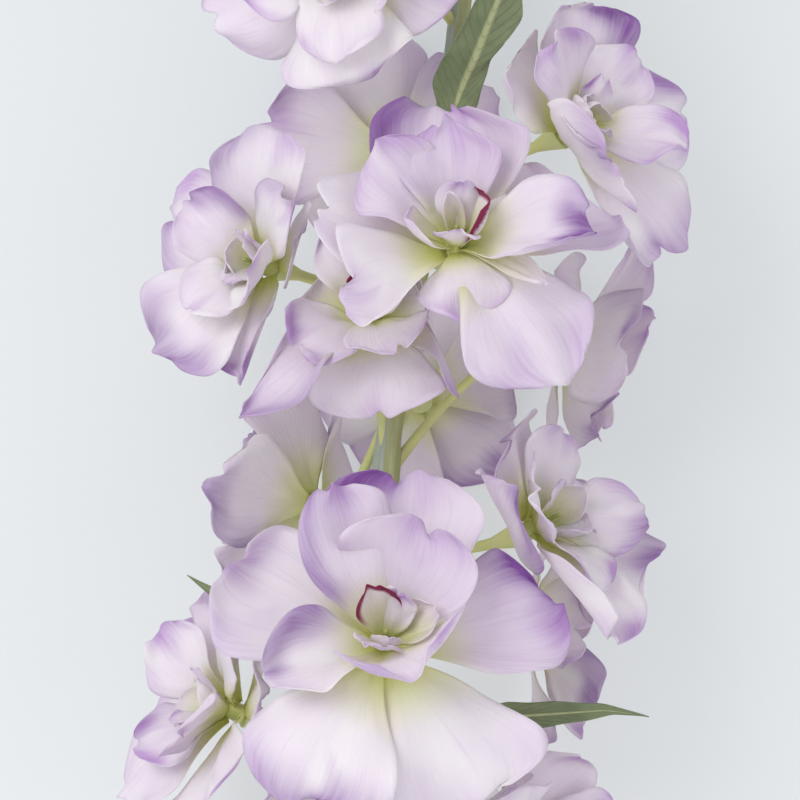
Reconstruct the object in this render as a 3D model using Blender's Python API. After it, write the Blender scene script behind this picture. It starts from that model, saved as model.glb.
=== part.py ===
"""A cut delphinium flower spike, lying on a flat surface with its tip towards +Y.

The stem runs through a loose spiral of double florets, each on its own stalk. A floret has
a whorl of broad outer petals, a whorl of smaller inner ones and a pair of small lip petals
round its heart. Closed buds sit at the tip, and narrow leaves grow between the florets.
Every petal is bent clear of the neighbouring florets, stalks and leaves, and of the surface.
"""

import math
import random
from collections import namedtuple

import bmesh
import bpy
import numpy as np
from mathutils import Matrix, Vector

MM = 0.001

# The spike's own frame is centred on the middle of its footprint, on the surface it lies on.
FOOT_MIDDLE = Vector((-7.5, -19.1, 0.0)) * MM

# The stem's route, from the cut end to the tip: across, along and above the surface.
STEM_ROUTE = [Vector(p) * MM for p in (
    (-15, -250, 3.6), (-13, -200, 14), (-10, -150, 29), (-7, -100, 39), (-5, -55, 42),
    (-2.4, -8, 42), (3, 25, 42), (9, 58, 42), (14, 92, 39), (19, 130, 33), (23, 168, 27),
    (25, 205, 23),
)]
STEM_FOOT_RADIUS = 3.3 * MM
STEM_TIP_RADIUS = 1.1 * MM
STEM_SIDES = 8
STEM_STEP = 22 * MM

STALK_RADIUS = 0.95 * MM
STALK_SIDES = 5
CALYX_RADIUS = 3.2 * MM
CALYX_LENGTH = 7 * MM
SEAT_GAP = 0.3 * MM

PETAL_THICKNESS = 0.65 * MM
LEAF_THICKNESS = 0.8 * MM
LEAF_REACH = 7 * MM
LEAF_SEAT = 0.4
PETAL_TAPER = 0.86
CLAW_LENGTH = 1.4
TIP_ROUNDING = 0.07
CLEARANCE = 0.3 * MM
PETAL_SOFTNESS = 3.5 * MM
LEAF_SOFTNESS = 0.8 * MM
LAYER = 0.75 * MM
PETAL_ROOM = PETAL_THICKNESS / 2 + CLEARANCE

HEART_RADIUS = 2.0 * MM
HEART_HEIGHT = 5.0 * MM
HEART_SIDES = 6

LILAC = (0.80, 0.70, 0.86, 1.0)
STEM_GREEN = (0.33, 0.40, 0.16, 1.0)
LEAF_GREEN = (0.28, 0.38, 0.20, 1.0)
BUD_LILAC = (0.74, 0.68, 0.72, 1.0)

Floret = namedtuple("Floret", "name base heading lift roll radius cup drop full")
# base: where the heart sits, in mm across, along and above the surface.
# heading, lift: where the floret faces, in degrees round from +X and above the horizon.
# roll: turns its petals about that direction. radius: length of its outer petals in mm.
# cup: degrees that its petals close up. drop: how far below the heart its stalk leaves the stem.
OPEN_FLORETS = (
    Floret("floret_a", (11, 28, 71), 88, 50, 25, 35, -4, 2, True),
    Floret("floret_b", (-11, 90, 57), 232, 62, 60, 32, 0, 14, True),
    Floret("floret_c", (33, 54, 48), 28, 44, 9, 30, 0, 16, True),
    Floret("floret_d", (-26, 27, 43), 165, 52, 15, 27, 2, 14, True),
    Floret("floret_e", (-6, 14, 52), 92, 50, -8, 33, -3, 28, True),
    Floret("floret_f", (25, -27, 45), 28, 30, 40, 31, 2, 12, True),
    Floret("floret_g", (-3, -50, 72), 86, 58, 8, 37, -4, -8, True),
    Floret("floret_h", (-32, -64, 43), 160, 24, 20, 30, 2, 8, True),
    Floret("floret_i", (-17, -22, 28), 165, -36, 10, 28, 4, -20, True),
    Floret("floret_j", (17, -89, 47), 330, 48, 70, 28, 4, 10, True),
    Floret("floret_k", (32, 12, 27), 340, -14, 30, 27, 4, 28, True),
    Floret("floret_l", (-9, -88, 52), 240, 62, 20, 27, 4, 12, True),
    Floret("floret_m", (25, -46, 25), 350, -10, 20, 26, 4, 14, True),
    Floret("floret_n", (0, 52, 15), 150, -72, 0, 27, 12, 12, True),
    Floret("floret_o", (-2, -92, 14), 260, -74, 36, 27, 12, 12, True),
    Floret("floret_p", (4, 0, 14), 0, -82, 10, 25, 14, 12, True),
)

SPIRAL_TURN = 137.5
TOP_FLORETS = 6
TOP_FLORET_STEP = 11.5
TOP_FLORET_START = 100.0

BUDS = 9
BUD_START = 168.0
BUD_STEP = 4.6

Whorl = namedtuple(
    "Whorl",
    "count turn step climb length width rise bend cup ruffle hub height lift sheets across along",
)
# turn, step, climb, rise and bend are in degrees: each petal sits one step further round than the
# last and climbs a little steeper. length, width and ruffle are shares of the floret's radius.
# count is the places round the heart. Petals that aren't neighbours grow from one small disc, hub
# wide from its middle. sheets groups them by their order, the first group at this height on the
# heart and the next a lift above, and a place that no group holds stays empty.
OUTER = Whorl(
    5, 0, 144, 4.2, 1.0, 0.94, 20, -32, 0.06, 0.035, 2.7 * MM, 0.6 * MM, 0.85 * MM,
    ((0, 1), (2, 3), (4,)), 3, 3,
)
INNER = Whorl(
    4, 36, 90, 5.0, 0.70, 0.60, 44, -32, 0.10, 0.040, 2.3 * MM, 3.2 * MM, 0.85 * MM,
    ((0, 2), (1, 3)), 2, 3,
)
LIPS = Whorl(
    4, 60, 90, 0.0, 0.34, 0.26, 70, -14, 0.10, 0.0, 1.8 * MM, 5.0 * MM, 0.0, ((0, 2),), 2, 2,
)
TOP_OUTER = OUTER._replace(across=2)
TOP_INNER = INNER._replace(sheets=((0, 2),))

# What sets single petals apart from their whorl, by floret, whorl and order in it: degrees more of
# turn, rise and bend, shares of length and width, and more cup.
Change = namedtuple("Change", "turn length width rise bend cup")
UNCHANGED = Change(0, 1, 1, 0, 0, 0)
CHANGES = {
    ("floret_a", 0, 0): Change(0, 1.05, 0.85, 2, 0, 0),
    ("floret_a", 0, 1): Change(-4, 1.02, 0.80, 0, 0, 0),
    ("floret_a", 0, 2): Change(-10, 0.87, 0.92, -16, -26, 0),
    ("floret_a", 0, 3): Change(-2, 0.95, 1.00, 6, 0, 0.1),
    ("floret_a", 0, 4): Change(-34, 0.98, 0.66, -20, -10, 0.2),
    ("floret_a", 1, 0): Change(34, 1.05, 0.95, 4, 16, 0.2),
    ("floret_a", 1, 1): Change(-11, 1.00, 0.95, -4, 6, 0.1),
    ("floret_a", 1, 2): Change(39, 0.62, 0.90, -34, -36, 0),
    ("floret_a", 1, 3): Change(12, 1.22, 1.10, -24, 20, 0.35),
    ("floret_d", 0, 0): Change(0, 0.72, 0.80, 8, 0, 0),
    ("floret_d", 0, 2): Change(-20, 0.90, 0.85, 0, 0, 0),
    ("floret_e", 0, 0): Change(0, 1.00, 0.70, 4, -6, 0.2),
    ("floret_e", 0, 2): Change(2, 0.62, 0.84, -14, -28, 0),
    ("floret_e", 0, 4): Change(-6, 1.05, 0.95, -14, -10, 0),
    ("floret_e", 1, 2): Change(6, 0.85, 0.95, -8, -16, 0),
    ("floret_e", 1, 3): Change(-8, 0.85, 0.90, -8, -16, 0),
    ("floret_e", 2, 2): Change(0, 0.65, 0.80, 0, 0, 0),
    ("floret_g", 0, 0): Change(6, 1.12, 0.84, 6, -4, 0),
    ("floret_g", 0, 1): Change(2, 0.96, 0.86, -4, 0, 0),
    ("floret_g", 0, 2): Change(2, 1.04, 1.02, -18, -26, 0),
    ("floret_g", 0, 3): Change(-2, 0.96, 0.96, 8, 0, 0),
    ("floret_g", 0, 4): Change(12, 1.12, 0.98, -22, -26, -0.1),
    ("floret_g", 1, 0): Change(28, 0.95, 1.20, 4, 26, 0.3),
    ("floret_g", 1, 1): Change(-14, 1.20, 0.90, 4, 0, 0.1),
    ("floret_g", 1, 2): Change(-28, 0.98, 0.78, -22, -16, 0.6),
    ("floret_g", 1, 3): Change(-20, 0.85, 1.20, 2, 14, 0.3),
}

Petal = namedtuple(
    "Petal", "turn length width rise bend cup ruffle waves phase twist sway height level whorl",
)

Leaf = namedtuple("Leaf", "name along side heading lift length width bend twist")
LEAVES = (
    Leaf("leaf_1", 57, 60, 68, 44, 44, 14, -36, 14),
    Leaf("leaf_2", -66, 14, 4, 16, 54, 6, -24, 12),
    Leaf("leaf_3", -58, 150, 146, 40, 46, 6, -30, -14),
    Leaf("leaf_4", -92, 180, 190, 26, 42, 8, -20, 14),
    Leaf("leaf_5", -122, 0, -4, 20, 58, 15, -36, -14),
    Leaf("leaf_6", -156, 200, 184, 4, 62, 15, -26, 14),
    Leaf("leaf_7", 88, 10, 0, 6, 34, 9, -24, 12),
)


def clear_scene():
    for obj in list(bpy.data.objects):
        bpy.data.objects.remove(obj, do_unlink=True)


def material(name, colour, roughness):
    made = bpy.data.materials.new(name)
    made.use_nodes = True
    shader = made.node_tree.nodes["Principled BSDF"]
    shader.inputs["Base Color"].default_value = colour
    shader.inputs["Roughness"].default_value = roughness
    return made


def direction(heading, lift):
    """A unit vector from degrees round from +X and degrees above the horizon."""
    h, e = math.radians(heading), math.radians(lift)
    return Vector((math.cos(h) * math.cos(e), math.sin(h) * math.cos(e), math.sin(e)))


def smoothstep(x):
    t = np.clip(x, 0.0, 1.0)
    return t * t * (3 - 2 * t)


def stem_point(along):
    """The point on the stem's middle line at this distance along Y, by a smooth curve through the route."""
    ys = [p.y for p in STEM_ROUTE]
    i = min(max(int(np.searchsorted(ys, along)) - 1, 0), len(ys) - 2)

    def slope(k):
        a, b = STEM_ROUTE[max(k - 1, 0)], STEM_ROUTE[min(k + 1, len(ys) - 1)]
        return (b - a) / (b.y - a.y)

    p, q = STEM_ROUTE[i], STEM_ROUTE[i + 1]
    gap = q.y - p.y
    t = (along - p.y) / gap
    return (
        p * (2 * t**3 - 3 * t**2 + 1) + slope(i) * gap * (t**3 - 2 * t**2 + t)
        + q * (3 * t**2 - 2 * t**3) + slope(i + 1) * gap * (t**3 - t**2)
    )


def stem_direction(along):
    return (stem_point(along + MM) - stem_point(along - MM)).normalized()


def stem_radius(along):
    foot, tip = STEM_ROUTE[0].y, STEM_ROUTE[-1].y
    share = (along - foot) / (tip - foot)
    return STEM_FOOT_RADIUS + (STEM_TIP_RADIUS - STEM_FOOT_RADIUS) * share**1.6


def top_florets():
    """The smaller, half-open florets above, in a spiral that tightens towards the tip."""
    made = []
    for n in range(TOP_FLORETS):
        along = TOP_FLORET_START + TOP_FLORET_STEP * n
        around = 150 + SPIRAL_TURN * n
        share = n / TOP_FLORETS
        reach = 19 - 7 * share
        stem = stem_point(along * MM) / MM
        out = Vector((math.cos(math.radians(around)), 0.25, math.sin(math.radians(around))))
        base = stem + out * reach
        heading = math.degrees(math.atan2(out.y + 0.25 + 0.5 * share, out.x))
        lift = math.degrees(math.asin(out.normalized().z)) * 0.9
        made.append(Floret(
            f"floret_{chr(ord('q') + n)}", tuple(base), heading, lift, 40 * n,
            24 - 8 * share, 8 + 26 * share, 12 - 3 * share, False,
        ))
    return made


def all_florets():
    return list(OPEN_FLORETS) + top_florets()


def base_of(floret):
    return Vector(floret.base) * MM


def facing_of(floret):
    return direction(floret.heading, floret.lift)


def floret_matrix(floret):
    """From a floret's own frame, facing +Z with its heart at the origin, to the spike's frame."""
    facing = facing_of(floret)
    up = Vector((0, 1, 0))
    side = up.cross(facing).normalized()
    upright = facing.cross(side)
    turn = Matrix.Rotation(math.radians(floret.roll), 3, "Z")
    axes = Matrix((side, upright, facing)).transposed() @ turn
    return Matrix.Translation(base_of(floret)) @ axes.to_4x4()


def whorls_of(floret):
    """The whorls of a floret, with simpler outer petals where it is small or faces down."""
    if not floret.full:
        return TOP_OUTER, TOP_INNER
    return OUTER if floret.lift > 0 else TOP_OUTER, INNER, LIPS


def petals_of(floret):
    """The floret's petals, outer ones first, with small differences drawn from its own seed."""
    draw = random.Random(floret.name)
    size = floret.radius * MM
    made = []
    for depth, whorl in enumerate(whorls_of(floret)):
        for sheet, levels in enumerate(whorl.sheets):
            for k in levels:
                own = CHANGES.get((floret.name, depth, k), UNCHANGED)
                closed = whorl.climb * k + floret.cup / (1 + depth)
                made.append(Petal(
                    turn=whorl.turn + whorl.step * k + own.turn + draw.uniform(-5, 5),
                    length=size * whorl.length * own.length * draw.uniform(0.94, 1.06),
                    width=size * whorl.width * own.width * draw.uniform(0.93, 1.07),
                    rise=whorl.rise + closed + own.rise + draw.uniform(-1.5, 1.5),
                    bend=whorl.bend + own.bend + draw.uniform(-7, 7),
                    cup=whorl.cup * (k - 1) * draw.uniform(0.6, 1.4) + own.cup,
                    ruffle=size * whorl.ruffle * draw.uniform(0.7, 1.3),
                    waves=draw.choice((2, 3)),
                    phase=draw.uniform(0, 2 * math.pi),
                    twist=draw.uniform(-5, 5),
                    sway=draw.uniform(-0.08, 0.08),
                    height=whorl.height + whorl.lift * sheet,
                    level=k,
                    whorl=whorl,
                ))
    return made


def petal_grid(petal, across, along):
    """Points of a petal's middle sheet, (along + 1) x (across + 1) x 3, in the floret's frame."""
    u, v = np.meshgrid(np.linspace(-1, 1, across + 1), np.linspace(0, 1, along + 1))
    blade_half = petal.width / 2 * np.sin(PETAL_TAPER * math.pi * v**CLAW_LENGTH) ** 0.85
    half = petal.whorl.hub * math.sin(math.pi / petal.whorl.count) * (1 - v) ** 2 + blade_half
    run = v - TIP_ROUNDING * u**2 * v**3
    rise, bend = math.radians(petal.rise), math.radians(petal.bend)
    tilt = rise + bend * run
    hub_edge = petal.whorl.hub * math.cos(math.pi / petal.whorl.count)
    out = hub_edge + petal.length * (np.sin(tilt) - math.sin(rise)) / bend
    up = petal.height + petal.length * (math.cos(rise) - np.cos(tilt)) / bend
    side = half * u + petal.sway * petal.length * run**2
    around = np.arctan2(u, (v - 0.55) * 1.9)
    rim = np.clip(np.sqrt(u**2 + ((v - 0.55) / 0.45) ** 2), 0, 1)
    proud = petal.cup * half * (u**2 - 0.25)
    proud += petal.ruffle * rim**3 * smoothstep(v / 0.5) * np.sin(petal.waves * around + petal.phase)
    proud += side * np.sin(math.radians(petal.twist) * run)
    out, up = out - proud * np.sin(tilt), up + proud * np.cos(tilt)
    turn = math.radians(petal.turn)
    return np.stack((
        out * math.cos(turn) - side * math.sin(turn),
        out * math.sin(turn) + side * math.cos(turn),
        up,
    ), axis=-1)


def moved(points, matrix):
    """An array of points carried by a 4 x 4 matrix."""
    m = np.array(matrix, float)
    return points @ m[:3, :3].T + m[:3, 3]


def stalk_route(floret):
    """Points along a stalk's middle line, from inside the stem to the back of the heart."""
    end = base_of(floret) - facing_of(floret) * SEAT_GAP
    root_along = end.y - floret.drop * MM
    root = stem_point(root_along)
    out = (end - root).normalized()
    first = root + (stem_direction(root_along) * math.copysign(0.5, floret.drop) + out) * (
        (end - root).length * 0.33
    )
    last = end - facing_of(floret) * (CALYX_LENGTH * 1.25)
    return [
        root * (1 - t) ** 3 + first * 3 * t * (1 - t) ** 2 + last * 3 * t**2 * (1 - t) + end * t**3
        for t in np.linspace(0, 1, 5)
    ]


def stalk_radius(share):
    """Thicker at the root, slim along the middle, and a funnel under the heart."""
    flare = max(0.0, (share - 0.68) / 0.32)
    return STALK_RADIUS * (1.35 - 0.35 * min(1.0, share * 4)) + (CALYX_RADIUS - STALK_RADIUS) * flare**1.5


def leaf_root(leaf):
    """Just clear of the stem's side, where the leaf springs from."""
    along = leaf.along * MM
    a = math.radians(leaf.side)
    side = Vector((math.cos(a), 0, math.sin(a)))
    return stem_point(along) + side * (stem_radius(along) + SEAT_GAP + LEAF_THICKNESS * 0.65)


def leaf_grid(leaf, across, along):
    """Points of a leaf's middle sheet in the spike's frame: lance-shaped and folded along its rib."""
    u, v = np.meshgrid(np.linspace(-1, 1, across + 1), np.linspace(0, 1, along + 1))
    length, half_width = leaf.length * MM, leaf.width * MM / 2
    half = half_width * (0.14 + 0.86 * np.sin(math.pi * v**0.75) ** 0.85) * (1 - 0.86 * v**7)
    heading, lift = math.radians(leaf.heading), math.radians(leaf.lift)
    bend = math.radians(leaf.bend) + 1e-6
    tilt = lift + bend * v
    run = length * (np.sin(tilt) - math.sin(lift)) / bend
    rise = length * (math.cos(lift) - np.cos(tilt)) / bend
    roll = math.radians(leaf.twist) * (0.4 + 0.6 * v)
    side = half * u * np.cos(roll)
    proud = half * (np.abs(u) * 0.3 + u * np.sin(roll))
    run, rise = run - proud * np.sin(tilt), rise + proud * np.cos(tilt)
    root = leaf_root(leaf)
    return np.stack((
        root.x + run * math.cos(heading) - side * math.sin(heading),
        root.y + run * math.sin(heading) + side * math.cos(heading),
        root.z + rise,
    ), axis=-1)


def held_leaf(grid, walls):
    """A leaf's points bent clear of what is round it, except at its root, which stays in its seat."""
    held = hold(grid, walls, LEAF_THICKNESS / 2 + CLEARANCE, LEAF_SOFTNESS)
    free = smoothstep(np.linspace(0, 1, len(grid)) / LEAF_SEAT)[:, None, None]
    return grid + (held - grid) * free


# How much more than its share of the room the florets nearest the eye take.
CLAIMS = {"floret_a": 1.5, "floret_g": 1.5, "floret_e": 1.5, "floret_d": 1.3}

Item = namedtuple("Item", "name site reach claim")


def items():
    """What takes room round the stem: the middle of each floret and leaf, and how far it reaches."""
    made = []
    for f in all_florets():
        site = base_of(f) + facing_of(f) * (0.28 * f.radius * MM)
        made.append(Item(f.name, site, f.radius * MM, f.radius * MM * CLAIMS.get(f.name, 1)))
    for leaf in LEAVES:
        middle = leaf_grid(leaf, 2, 4)[2, 1]
        made.append(Item(leaf.name, Vector(middle), LEAF_REACH, LEAF_REACH))
    return made


def away_from_bar(site, a, b, room):
    """The plane (normal, distance) that keeps a piece at this site clear of a round bar from a to b."""
    span = b - a
    t = min(max((site - a).dot(span) / span.length_squared, 0), 1)
    normal = (a + span * t - site).normalized()
    return normal, min(normal.dot(a), normal.dot(b)) - room


def away_from_stem(site):
    """The plane, along the stem, that keeps a piece at this site clear of the stretch beside it."""
    a, b = stem_point(site.y - STEM_STEP), stem_point(site.y + STEM_STEP)
    normal = stem_point(site.y) - site
    normal = (normal - (b - a) * normal.dot(b - a) / (b - a).length_squared).normalized()
    nearest = min(normal.dot(p) for p in (a, b, stem_point(site.y)))
    return normal, nearest - stem_radius(site.y) - CLEARANCE


def planes_round(item, everything, stalks):
    """The flat walls that a piece bends clear of: its share of the room beside each neighbour,
    the other stalks and, round a floret, the stem. A point p is inside where normal . p <= distance."""
    walls = []
    for other in everything:
        gap = other.site - item.site
        if other.name == item.name or gap.length > item.reach + other.reach + 12 * MM:
            continue
        normal = gap.normalized()
        share = item.claim / (item.claim + other.claim)
        walls.append((normal, normal.dot(item.site + gap * share) - CLEARANCE / 2))
    for name, route in stalks.items():
        if name == item.name:
            continue
        for a, b in zip(route, route[1:]):
            if ((a + b) / 2 - item.site).length < item.reach * 1.3:
                walls.append(away_from_bar(item.site, a, b, CALYX_RADIUS * 0.5))
        if (route[-1] - item.site).length < item.reach * 1.3:
            walls.append(away_from_bar(item.site, route[-2], route[-1], CALYX_RADIUS))
    if item.name not in stalks:
        return walls + [away_from_stem(item.site)]
    for along in (item.site.y + k * STEM_STEP for k in range(-3, 4)):
        a, b = stem_point(along - STEM_STEP / 2), stem_point(along + STEM_STEP / 2)
        walls.append(away_from_bar(item.site, a, b, stem_radius(along) + CLEARANCE))
    return walls


def pressed(room, softness):
    """How far above the surface a point lies: unchanged well above it, flat on it from below."""
    near = (room + softness) ** 2 / (4 * softness)
    return np.where(room > softness, room, np.where(room < -softness, 0, near))


def crowded(room, softness):
    """How far inside a wall a point ends up: unchanged well inside, never beyond, always in order."""
    return np.where(room > softness, room, softness**2 / np.maximum(2 * softness - room, softness))


def hold(points, walls, room, softness, facing=None, level=0, levels=1):
    """Bends points clear of the walls and the surface, softly first and then by what is left.
    Petals crowded against one wall lie in layers, in the order of their levels."""
    shape = points.shape
    p = points.reshape(-1, 3).copy()
    surface = (Vector((0, 0, -1)), CLEARANCE)
    for firm in (False, True, True, True, True, True, True):
        for wall in (surface, *walls):
            normal, distance = wall
            layers = 0
            if facing is not None:
                layers = level if normal.dot(facing) < 0 else levels - 1 - level
            n = np.array(normal)
            inside = distance - room - LAYER * layers - p @ n
            if firm:
                kept = np.maximum(inside, 0)
            elif wall is surface:
                kept = pressed(inside, softness)
            else:
                kept = crowded(inside, softness)
            p += np.outer(inside - kept, n)
    return p.reshape(shape)


def triangles_between(lower, upper):
    """Triangles that fill the band between two rows of corners, which may differ in number."""
    i = j = 0
    while i + j < len(lower) + len(upper) - 2:
        if j + 1 < len(upper) and (j + 0.5) * (len(lower) - 1) <= (i + 0.5) * (len(upper) - 1):
            yield lower[i], upper[j + 1], upper[j]
            j += 1
        else:
            yield lower[i], lower[i + 1], upper[j]
            i += 1


def both_sides(mesh, points, normals, thickness):
    """Rows of new corners half a thickness over and under rows of points, never below the surface."""
    sides = []
    for half in (thickness / 2, -thickness / 2):
        moved_rows = [row + normal * half for row, normal in zip(points, normals)]
        sides.append([
            [mesh.verts.new((x, y, max(z, 0))) for x, y, z in row] for row in moved_rows
        ])
    return sides


def add_blade(mesh, over, under):
    """Faces on both sides of a blade, split into triangles alike, and round its edge from the right
    end of its root to the left end."""
    for k in range(len(over) - 1):
        for corners in triangles_between(over[k], over[k + 1]):
            mesh.faces.new(corners)
        for corners in triangles_between(under[k], under[k + 1]):
            mesh.faces.new(corners[::-1])
    add_edge(mesh, *(
        [row[-1] for row in rows] + rows[-1][-2::-1] + [row[0] for row in rows[-2::-1]]
        for rows in (over, under)
    ))


def unit(vectors):
    return vectors / np.maximum(np.linalg.norm(vectors, axis=-1, keepdims=True), 1e-12)


def sheet_offsets(grid):
    """How a blade's half thickness leans at each point: mostly the way of the whole blade, so that its
    two faces never cross, and longer where it leans, so that it is as thick as it should be."""
    normals = unit(np.cross(np.gradient(grid, axis=1), np.gradient(grid, axis=0)))
    lean = unit(normals + 2 * unit(normals.mean(axis=(0, 1))))
    return lean / np.maximum((lean * normals).sum(axis=-1, keepdims=True), 0.7)


def add_edge(mesh, over, under):
    """Faces along a stretch of edge, between rows of corners that run anticlockwise seen from over."""
    for k in range(len(over) - 1):
        mesh.faces.new((over[k + 1], over[k], under[k]))
        mesh.faces.new((over[k + 1], under[k], under[k + 1]))


def make_sheet(name, grids, hub, facing):
    """One thin solid: petals that grow from some of the sides of a small flat disc."""
    mesh = bmesh.new()
    back = [np.tile(-np.array(facing), (len(hub), 1))]
    (over_hub,), (under_hub,) = both_sides(mesh, [hub], back, PETAL_THICKNESS)
    mesh.faces.new(over_hub[::-1])
    mesh.faces.new(under_hub)
    for k, grid in enumerate(grids):
        over_root, under_root = [over_hub[k - 1], over_hub[k]], [under_hub[k - 1], under_hub[k]]
        if grid is None:
            add_edge(mesh, over_root[::-1], under_root[::-1])
        else:
            over, under = both_sides(mesh, grid[1:], sheet_offsets(grid)[1:], PETAL_THICKNESS)
            add_blade(mesh, [over_root, *over], [under_root, *under])
    return object_from(name, mesh)


def object_from(name, mesh):
    data = bpy.data.meshes.new(name)
    mesh.to_mesh(data)
    mesh.free()
    obj = bpy.data.objects.new(name, data)
    bpy.context.scene.collection.objects.link(obj)
    return obj


def tube(name, route, radii, sides, flat_end=None):
    """A closed round bar along a route of points, with its own radius at each."""
    mesh = bmesh.new()
    rings = []
    side = Vector((1, 0, 0))
    for k, (point, radius) in enumerate(zip(route, radii)):
        ahead = (route[min(k + 1, len(route) - 1)] - route[max(k - 1, 0)]).normalized()
        if flat_end is not None and k == len(route) - 1:
            ahead = flat_end
        side = (side - ahead * side.dot(ahead)).normalized()
        up = ahead.cross(side)
        rings.append([
            mesh.verts.new(point + (side * math.cos(a) + up * math.sin(a)) * radius)
            for a in (2 * math.pi * i / sides for i in range(sides))
        ])
    for ring, above in zip(rings, rings[1:]):
        for i in range(sides):
            j = (i + 1) % sides
            mesh.faces.new((ring[i], ring[j], above[j], above[i]))
    mesh.faces.new(rings[0][::-1])
    mesh.faces.new(rings[-1])
    return object_from(name, mesh)


def fused(body, parts):
    """One solid from a body and the parts that are sunk into it."""
    group = bpy.data.collections.new(body.name + " parts")
    for part in parts:
        group.objects.link(part)
    union = body.modifiers.new("join", "BOOLEAN")
    union.operation = "UNION"
    union.operand_type = "COLLECTION"
    union.collection = group
    union.solver = "MANIFOLD"
    graph = bpy.context.evaluated_depsgraph_get()
    joined = bpy.data.meshes.new_from_object(body.evaluated_get(graph))
    body.modifiers.remove(union)
    body.data = joined
    for part in parts:
        bpy.data.objects.remove(part, do_unlink=True)
    bpy.data.collections.remove(group)
    return body


def make_floret(floret, walls, finish):
    matrix = floret_matrix(floret)
    facing = facing_of(floret)
    petals = petals_of(floret)
    parts = []
    for whorl in whorls_of(floret):
        place = 360 / whorl.count
        corners = [math.radians(whorl.turn + place * (k + 0.5)) for k in range(whorl.count)]
        for sheet, levels in enumerate(whorl.sheets):
            grids = [None] * whorl.count
            for petal in petals:
                if petal.whorl == whorl and petal.level in levels:
                    grid = moved(petal_grid(petal, whorl.across, whorl.along), matrix)
                    grid = hold(
                        grid, walls, PETAL_ROOM, PETAL_SOFTNESS, facing, petal.level, whorl.count,
                    )
                    grids[round(whorl.step * petal.level / place) % whorl.count] = grid
            height = whorl.height + whorl.lift * sheet
            hub = [(whorl.hub * math.cos(a), whorl.hub * math.sin(a), height) for a in corners]
            parts.append(make_sheet("sheet", grids, moved(np.array(hub), matrix), facing))
    heart = tube(
        floret.name, [base_of(floret) + facing * HEART_HEIGHT * h for h in (0, 1)],
        [HEART_RADIUS, HEART_RADIUS / 2], HEART_SIDES, facing,
    )
    fused(heart, parts)
    heart.data.materials.clear()
    heart.data.materials.append(finish)
    return heart


def make_stem(stalks, bud_stalks, finish):
    foot, tip = STEM_ROUTE[0].y, STEM_ROUTE[-1].y
    steps = round((tip - foot) / STEM_STEP)
    alongs = [foot + (tip - foot) * k / steps for k in range(steps + 1)]
    stem = tube("stem", [stem_point(y) for y in alongs], [stem_radius(y) for y in alongs], STEM_SIDES)
    branches = []
    for floret in all_florets():
        route = stalks[floret.name]
        radii = [stalk_radius(k / (len(route) - 1)) for k in range(len(route))]
        branches.append(tube("stalk", route, radii, STALK_SIDES, facing_of(floret)))
    for route in bud_stalks:
        radii = [STALK_RADIUS * r for r in (1.1, 0.8, 0.8, 1.7)]
        branches.append(tube("bud stalk", route, radii, STALK_SIDES, (route[-1] - route[-2]).normalized()))
    fused(stem, branches)
    stem.data.materials.clear()
    stem.data.materials.append(finish)
    return stem


Bud = namedtuple("Bud", "name base facing length radius")
BUD_SIDES = 8
BUD_RIBS = 4


def buds():
    """The closed buds at the tip, smaller towards the end, and one that ends the stem."""
    made = []
    for n in range(BUDS):
        along = (BUD_START + BUD_STEP * n) * MM
        around = math.radians(60 + SPIRAL_TURN * n)
        share = n / (BUDS - 1)
        stem = stem_point(min(along, STEM_ROUTE[-1].y))
        last = n == BUDS - 1
        out = Vector((math.cos(around), 0.75 + 0.5 * share, math.sin(around))).normalized()
        if last:
            stem, out = STEM_ROUTE[-1], stem_direction(STEM_ROUTE[-1].y - MM)
        base = stem + out * ((0.5 if last else 11 - 5 * share) * MM)
        made.append(Bud(f"bud_{n + 1}", base, out, (11.5 - 4.5 * share) * MM, (4.0 - 1.6 * share) * MM))
    return made


def bud_stalk(bud, last):
    end = bud.base - bud.facing * SEAT_GAP
    root = stem_point(min(end.y - 7 * MM, STEM_ROUTE[-1].y - 3 * MM))
    if last:
        root = STEM_ROUTE[-1] - bud.facing * 2 * MM
    bow = (root + end) / 2 + Vector((0, 1, 0)) * (0 if last else 1.0 * MM)
    return [root, root.lerp(bow, 0.7), end.lerp(bow, 0.5), end]


def make_bud(bud, finish):
    """A pointed bud whose folded petals show as ribs."""
    mesh = bmesh.new()
    side = bud.facing.orthogonal().normalized()
    up = bud.facing.cross(side)
    profile = ((0.0, 0.45), (0.22, 0.9), (0.52, 1.0), (0.84, 0.55))
    rings = []
    for height, width in profile:
        ring = []
        for i in range(BUD_SIDES):
            a = 2 * math.pi * i / BUD_SIDES
            radius = bud.radius * width * (1 + 0.10 * math.cos(BUD_RIBS * a))
            ring.append(mesh.verts.new(
                bud.base + bud.facing * bud.length * height + (side * math.cos(a) + up * math.sin(a)) * radius
            ))
        rings.append(ring)
    tip = mesh.verts.new(bud.base + bud.facing * bud.length)
    for ring, above in zip(rings, rings[1:]):
        for i in range(BUD_SIDES):
            j = (i + 1) % BUD_SIDES
            mesh.faces.new((ring[i], ring[j], above[j], above[i]))
    for i in range(BUD_SIDES):
        mesh.faces.new((rings[-1][i], rings[-1][(i + 1) % BUD_SIDES], tip))
    mesh.faces.new(rings[0][::-1])
    obj = object_from(bud.name, mesh)
    obj.data.materials.append(finish)
    return obj


def make_leaf(leaf, walls, finish):
    grid = held_leaf(leaf_grid(leaf, 2, 5), walls)
    mesh = bmesh.new()
    over, under = both_sides(mesh, grid, sheet_offsets(grid), LEAF_THICKNESS)
    add_blade(mesh, over, under)
    add_edge(mesh, over[0], under[0])
    obj = object_from(leaf.name, mesh)
    obj.data.materials.append(finish)
    return obj


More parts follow.
